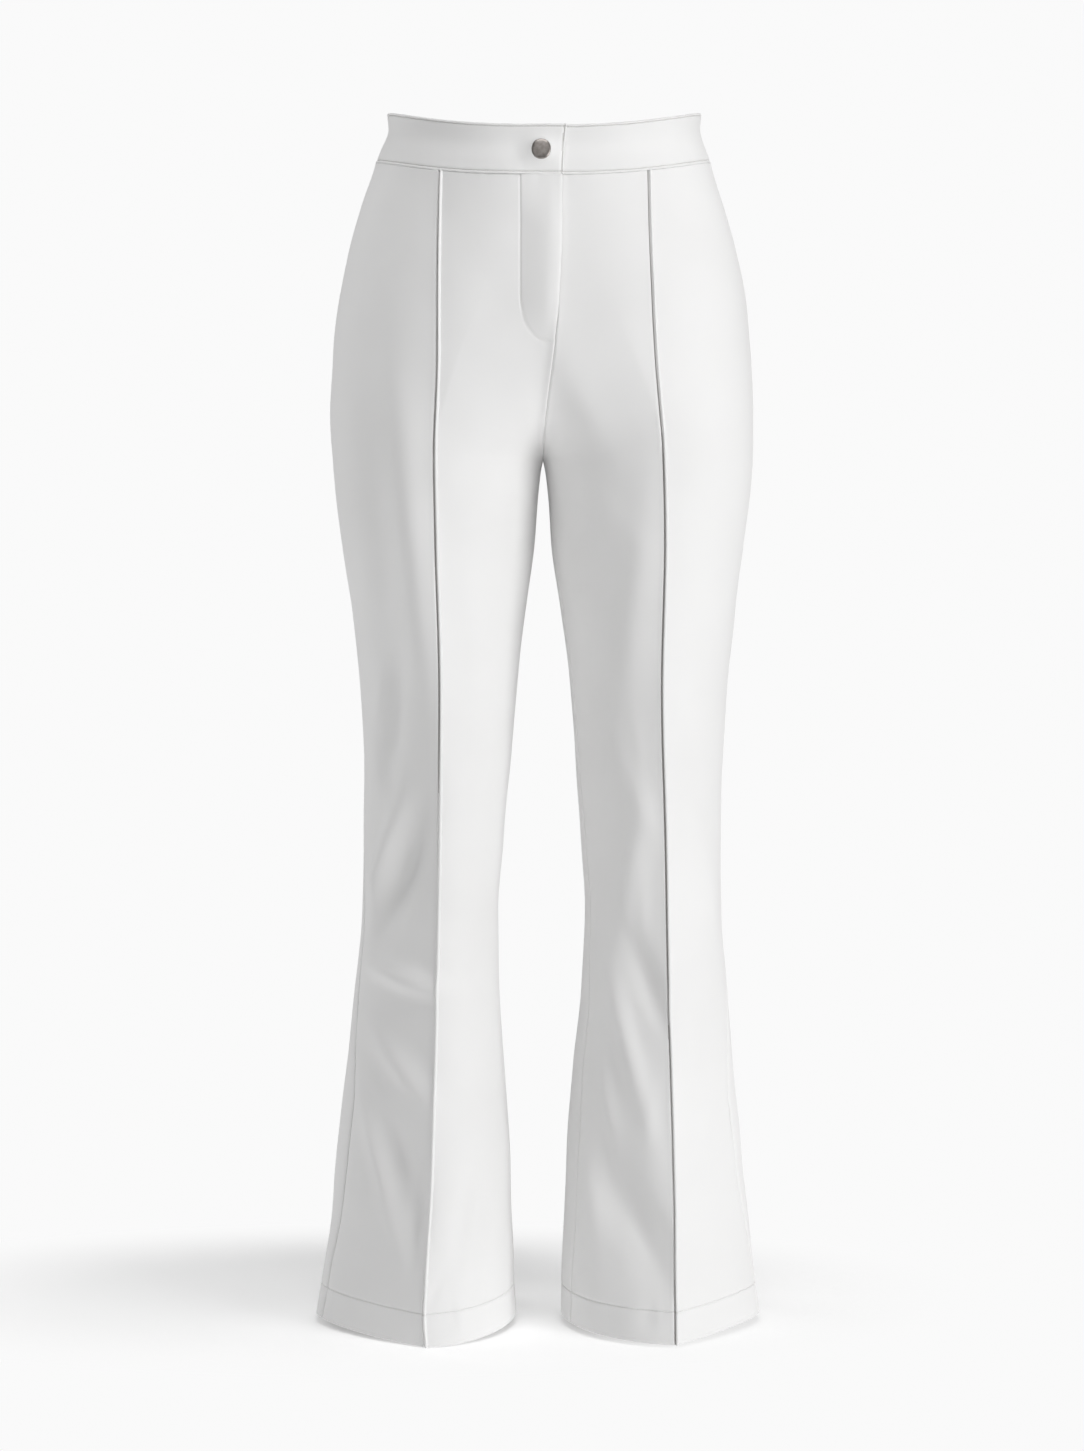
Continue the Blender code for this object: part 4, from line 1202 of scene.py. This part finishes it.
def snap():
    """The snap's cap: a low dome with a rolled rim, on the waistband's lap."""
    turn = turn_at("right", np.array(SNAP_HEIGHT), -SNAP_X)
    proud = -BAND_PROUD - LAP_LIFT
    seat = surface("right", SNAP_HEIGHT, turn, proud)
    above = surface("right", BAND_TOP / 2, turn, proud)
    lean = math.atan2(above[1] - seat[1], above[2] - seat[2])
    bm = bmesh.new()
    rings = []
    for row in SNAP_FINE_PROFILE:
        step = dict(zip(SNAP_COLUMNS, row))
        rise = step["rise_share"] * SNAP_RISE
        ring = []
        for i in range(SNAP_FINE_SIDES):
            angle = 2 * math.pi * i / SNAP_FINE_SIDES
            squared = 1 - SNAP_SQUARENESS * math.cos(4 * angle)
            share = squared * step["radius_share"]
            x = share * SNAP_HALF_WIDTH * math.cos(angle)
            z = share * SNAP_HALF_HEIGHT * math.sin(angle)
            ring.append(bm.verts.new((x, -rise, z)))
        rings.append(ring)
    for ring, next_ring in zip(rings, rings[1:]):
        for i in range(SNAP_FINE_SIDES):
            j = (i + 1) % SNAP_FINE_SIDES
            bm.faces.new((ring[i], ring[j], next_ring[j], next_ring[i]))
    bm.faces.new(rings[0])
    bm.faces.new(rings[-1])
    bmesh.ops.recalc_face_normals(bm, faces=bm.faces)
    turned = Matrix.Rotation(-lean, 4, "X")
    turned.translation = Vector(seat) - Vector((0.0, SNAP_SEAT_GAP, 0.0))
    bm.transform(turned)
    mesh = bpy.data.meshes.new("snap_cap_metal")
    bm.to_mesh(mesh)
    bm.free()
    mesh.materials.append(PEWTER)
    mesh.shade_smooth()
    mesh.set_sharp_from_angle(angle=math.radians(SNAP_SHARP))
    return add("snap_cap_metal", mesh)


# ---------------------------------------------------------------- stitches

def stitch_tree():
    """Node group that lays even stitches along every line of its mesh."""
    tree = bpy.data.node_groups.new("Rows of stitches", "GeometryNodeTree")
    sockets = [("Geometry", "INPUT", "Geometry"), ("Geometry", "OUTPUT", "Geometry")]
    sockets += [(name, "INPUT", "Float") for name in ("Pitch", "Length", "Thickness")]
    sockets += [("Seed", "INPUT", "Int"), ("Thread", "INPUT", "Material")]
    for name, way, kind in sockets:
        tree.interface.new_socket(name, in_out=way, socket_type="NodeSocket" + kind)
    entry = tree.nodes.new("NodeGroupInput")
    result = tree.nodes.new("NodeGroupOutput")
    curves = tree.nodes.new("GeometryNodeMeshToCurve")
    places = tree.nodes.new("GeometryNodeCurveToPoints")
    places.mode = "LENGTH"
    stitch = tree.nodes.new("GeometryNodeMeshUVSphere")
    stitch.inputs["Segments"].default_value = STITCH_SEGMENTS
    stitch.inputs["Rings"].default_value = STITCH_RINGS
    stitch.inputs["Radius"].default_value = 0.5
    size = tree.nodes.new("ShaderNodeCombineXYZ")
    uneven = tree.nodes.new("FunctionNodeRandomValue")
    uneven.data_type = "FLOAT"
    uneven.inputs[2].default_value, uneven.inputs[3].default_value = STITCH_SIZES
    scale = tree.nodes.new("ShaderNodeVectorMath")
    scale.operation = "SCALE"
    on_points = tree.nodes.new("GeometryNodeInstanceOnPoints")
    real = tree.nodes.new("GeometryNodeRealizeInstances")
    smooth = tree.nodes.new("GeometryNodeSetShadeSmooth")
    thread = tree.nodes.new("GeometryNodeSetMaterial")
    for start, output, end, socket in (
        (entry, "Geometry", curves, "Mesh"),
        (curves, "Curve", places, "Curve"),
        (entry, "Pitch", places, "Length"),
        (entry, "Thickness", size, "X"),
        (entry, "Thickness", size, "Y"),
        (entry, "Length", size, "Z"),
        (entry, "Seed", uneven, "Seed"),
        (size, "Vector", scale, 0),
        (uneven, 1, scale, "Scale"),
        (places, "Points", on_points, "Points"),
        (places, "Rotation", on_points, "Rotation"),
        (stitch, "Mesh", on_points, "Instance"),
        (scale, "Vector", on_points, "Scale"),
        (on_points, "Instances", real, "Geometry"),
        (real, "Geometry", smooth, "Geometry"),
        (smooth, "Geometry", thread, "Geometry"),
        (entry, "Thread", thread, "Material"),
        (thread, "Geometry", result, "Geometry"),
    ):
        tree.links.new(start.outputs[output], end.inputs[socket])
    return tree


def stitches(name, paths, seed):
    """Rows of stitches along paths, as one mesh."""
    points = []
    edges = []
    for path in paths:
        first = len(points)
        points += [tuple(float(c) for c in point) for point in path]
        edges += [(i, i + 1) for i in range(first, len(points) - 1)]
    line = bpy.data.meshes.new(name + "_line")
    line.from_pydata(points, edges, [])
    guide = add(name + "_line", line)
    sewing = guide.modifiers.new("Sewing", "NODES")
    sewing.node_group = STITCH_TREE
    settings = {"Pitch": STITCH_PITCH, "Length": STITCH_LENGTH, "Thickness": STITCH_THICKNESS}
    settings["Seed"] = seed
    settings["Thread"] = THREAD
    for socket in STITCH_TREE.interface.items_tree:
        if socket.in_out == "INPUT" and socket.name in settings:
            sewing[socket.identifier] = settings[socket.name]
    guide.update_tag()
    bpy.context.view_layer.update()
    graph = bpy.context.evaluated_depsgraph_get()
    mesh = bpy.data.meshes.new_from_object(guide.evaluated_get(graph), depsgraph=graph)
    mesh.name = name
    guide.modifiers.remove(sewing)
    bpy.data.objects.remove(guide)
    return add(name, mesh)


# ---------------------------------------------------------------- materials

def new_material(name):
    material = bpy.data.materials.new(name)
    material.use_nodes = True
    tree = material.node_tree
    return material, tree, tree.nodes["Principled BSDF"]


def set_inputs(step, values):
    for name, value in values.items():
        step.inputs[name].default_value = value


def maths(tree, operation, first, second, third=None):
    """A Math node; an input is a socket or a number."""
    step = tree.nodes.new("ShaderNodeMath")
    step.operation = operation
    for socket, value in zip(step.inputs, (first, second, third)):
        if isinstance(value, float):
            socket.default_value = value
        elif value is not None:
            tree.links.new(value, socket)
    return step.outputs[0]


def noise(tree, places, scale, detail, roughness):
    step = tree.nodes.new("ShaderNodeTexNoise")
    set_inputs(step, {"Scale": scale, "Detail": detail, "Roughness": roughness})
    tree.links.new(places, step.inputs["Vector"])
    return step.outputs[0]


def weave(tree, places):
    """Height of a plain weave, between 0 and 1."""
    parts = tree.nodes.new("ShaderNodeSeparateXYZ")
    tree.links.new(places, parts.inputs[0])
    rate = 2 * math.pi / WEAVE_PITCH
    ways = [maths(tree, "MULTIPLY", parts.outputs[i], rate) for i in range(2)]
    over, under = [maths(tree, "SINE", way, None) for way in ways]
    return maths(tree, "MULTIPLY_ADD", maths(tree, "MULTIPLY", over, under), 0.5)


def textured(name):
    """A material with an uneven tone, an uneven roughness and a fine relief."""
    look = LOOKS[name]
    material, tree, shader = new_material(name)
    places = tree.nodes.new("ShaderNodeTexCoord").outputs
    tone = tree.nodes.new("ShaderNodeValToRGB")
    for stop, place, colour in zip(tone.color_ramp.elements, TONE_STOPS, look["colours"]):
        stop.position = place
        stop.color = colour + (1.0,)
    tree.links.new(noise(tree, places["Object"], *look["tone"]), tone.inputs[0])
    tree.links.new(tone.outputs[0], shader.inputs["Base Color"])
    grain = noise(tree, places["Object"], *look["grain"])
    least, spread = look["rough"]
    rough = maths(tree, "MULTIPLY_ADD", grain, spread, least)
    tree.links.new(rough, shader.inputs["Roughness"])
    height = noise(tree, places["Object"], *look["relief"])
    if look["woven"]:
        height = maths(tree, "MULTIPLY_ADD", height, FIBRE_SHARE, weave(tree, places["UV"]))
    bump = tree.nodes.new("ShaderNodeBump")
    set_inputs(bump, dict(zip(("Strength", "Distance"), look["bump"])))
    tree.links.new(height, bump.inputs["Height"])
    tree.links.new(bump.outputs[0], shader.inputs["Normal"])
    set_inputs(shader, look["shine"])
    return material


FACE_CLOTH = textured("White softshell face")
# The darker cloth for painted shade in grooves and the pintuck's notch.
GROOVE_SHADE_CLOTH = textured("White softshell painted groove shade")
BACK_CLOTH = textured("Brushed softshell back")
THREAD = textured("White sewing thread")
PEWTER = textured("Brushed pewter")
STITCH_TREE = stitch_tree()


# ---------------------------------------------------------------- the garment

def ride(thing):
    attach(thing, "root")


def dress(node, thing, sewn):
    """Puts a cloth piece and its stitches on the root, in the place of its solid, and hides
    the solid.
    """
    ride(thing)
    for rows in sewn:
        ride(rows)
    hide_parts(node)


def make_garment():
    """Every piece with its stitches, the wearer's right half first."""
    seed = FIRST_STITCH_SEED
    for leg in ("right", "left"):
        for face in ("front", "back", "waistband"):
            name = face + "_" + leg
            if face == "waistband":
                thing, paths = waistband(leg)
            else:
                thing, paths = leg_panel(leg, face)
            dress(name, thing, [stitches(name + "_stitches", paths, seed)])
            seed += 1
    dress("fly_underlap", fly_underlap(), [])
    cap = snap()
    ride(cap)
    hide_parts("snap_cap")


make_garment()


# ---------------------------------------------------------------- studio

def floor_material():
    """A pale floor: near the garment it takes light and shadow, and further off it glows."""
    material, tree, shader = new_material("Pale studio floor")
    places = tree.nodes.new("ShaderNodeTexCoord")
    spread = tree.nodes.new("ShaderNodeMapping")
    set_inputs(spread, {"Location": FLOOR_SHIFT, "Scale": FLOOR_SPREAD})
    tree.links.new(places.outputs["Object"], spread.inputs["Vector"])
    away = tree.nodes.new("ShaderNodeVectorMath")
    away.operation = "LENGTH"
    tree.links.new(spread.outputs[0], away.inputs[0])
    share = tree.nodes.new("ShaderNodeMapRange")
    share.interpolation_type = "SMOOTHSTEP"
    set_inputs(share, {"From Min": FLOOR_NEAR, "From Max": FLOOR_FAR})
    tree.links.new(away.outputs["Value"], share.inputs["Value"])
    set_inputs(shader, {
        "Base Color": (FLOOR_TONE, FLOOR_TONE, FLOOR_TONE, 1.0),
        "Roughness": 0.9,
        "Specular IOR Level": 0.0,
        "Emission Color": WHITE,
        "Emission Strength": FLOOR_GLOW,
    })
    glow = tree.nodes.new("ShaderNodeEmission")
    glow.inputs["Color"].default_value = (BACKGROUND, BACKGROUND, BACKGROUND, 1.0)
    mix = tree.nodes.new("ShaderNodeMixShader")
    tree.links.new(share.outputs[0], mix.inputs[0])
    tree.links.new(shader.outputs[0], mix.inputs[1])
    tree.links.new(glow.outputs[0], mix.inputs[2])
    tree.links.new(mix.outputs[0], tree.nodes["Material Output"].inputs["Surface"])
    return material


def floor():
    bm = bmesh.new()
    bmesh.ops.create_circle(bm, cap_ends=True, segments=FLOOR_SIDES, radius=FLOOR_RADIUS)
    mesh = bpy.data.meshes.new("studio_floor")
    bm.to_mesh(mesh)
    bm.free()
    mesh.materials.append(floor_material())
    thing = add("studio_floor", mesh)
    thing.location = (0.0, 0.0, FLOOR_HEIGHT)


def aimed(name, light, place, target, power):
    """Puts a light in its place, turned to its target."""
    light.energy = power
    thing = add(name, light)
    thing.location = place
    aim = Vector(target) - Vector(place)
    thing.rotation_euler = aim.to_track_quat("-Z", "Y").to_euler()


def lights():
    """The softboxes, and a soft round light on the waist and hips, from the wearer's right."""
    for name, place, size, power in SOFTBOXES:
        light = bpy.data.lights.new(name, "AREA")
        light.shape = "RECTANGLE"
        light.size, light.size_y = size
        aimed(name, light, place, SOFTBOX_TARGET, power)
    light = bpy.data.lights.new("spot", "SPOT")
    light.spot_size = math.radians(SPOT_ANGLE)
    light.spot_blend = 1.0
    light.shadow_soft_size = SPOT_SOFTNESS
    aimed("spot", light, SPOT_PLACE, SPOT_TARGET, SPOT_POWER)


def surroundings():
    """Dim even light from all round; behind the garment the camera sees plain white."""
    world = bpy.data.worlds.new("Studio")
    world.use_nodes = True
    tree = world.node_tree
    light = tree.nodes["Background"]
    set_inputs(light, {"Color": WHITE, "Strength": ROOM_LIGHT})
    seen = tree.nodes.new("ShaderNodeBackground")
    set_inputs(seen, {"Color": WHITE, "Strength": BACKGROUND})
    path = tree.nodes.new("ShaderNodeLightPath")
    mix = tree.nodes.new("ShaderNodeMixShader")
    tree.links.new(path.outputs["Is Camera Ray"], mix.inputs[0])
    tree.links.new(light.outputs[0], mix.inputs[1])
    tree.links.new(seen.outputs[0], mix.inputs[2])
    tree.links.new(mix.outputs[0], tree.nodes["World Output"].inputs["Surface"])
    bpy.context.scene.world = world


def camera():
    view = bpy.data.cameras.new("camera")
    view.lens = CAMERA_LENS
    view.sensor_width = CAMERA_SENSOR
    thing = add("camera", view)
    thing.location = CAMERA_PLACE
    thing.rotation_euler = (math.radians(90.0 - CAMERA_PITCH), 0.0, 0.0)
    bpy.context.scene.camera = thing


floor()
lights()
surroundings()
camera()
bpy.context.scene.view_settings.view_transform = "Standard"
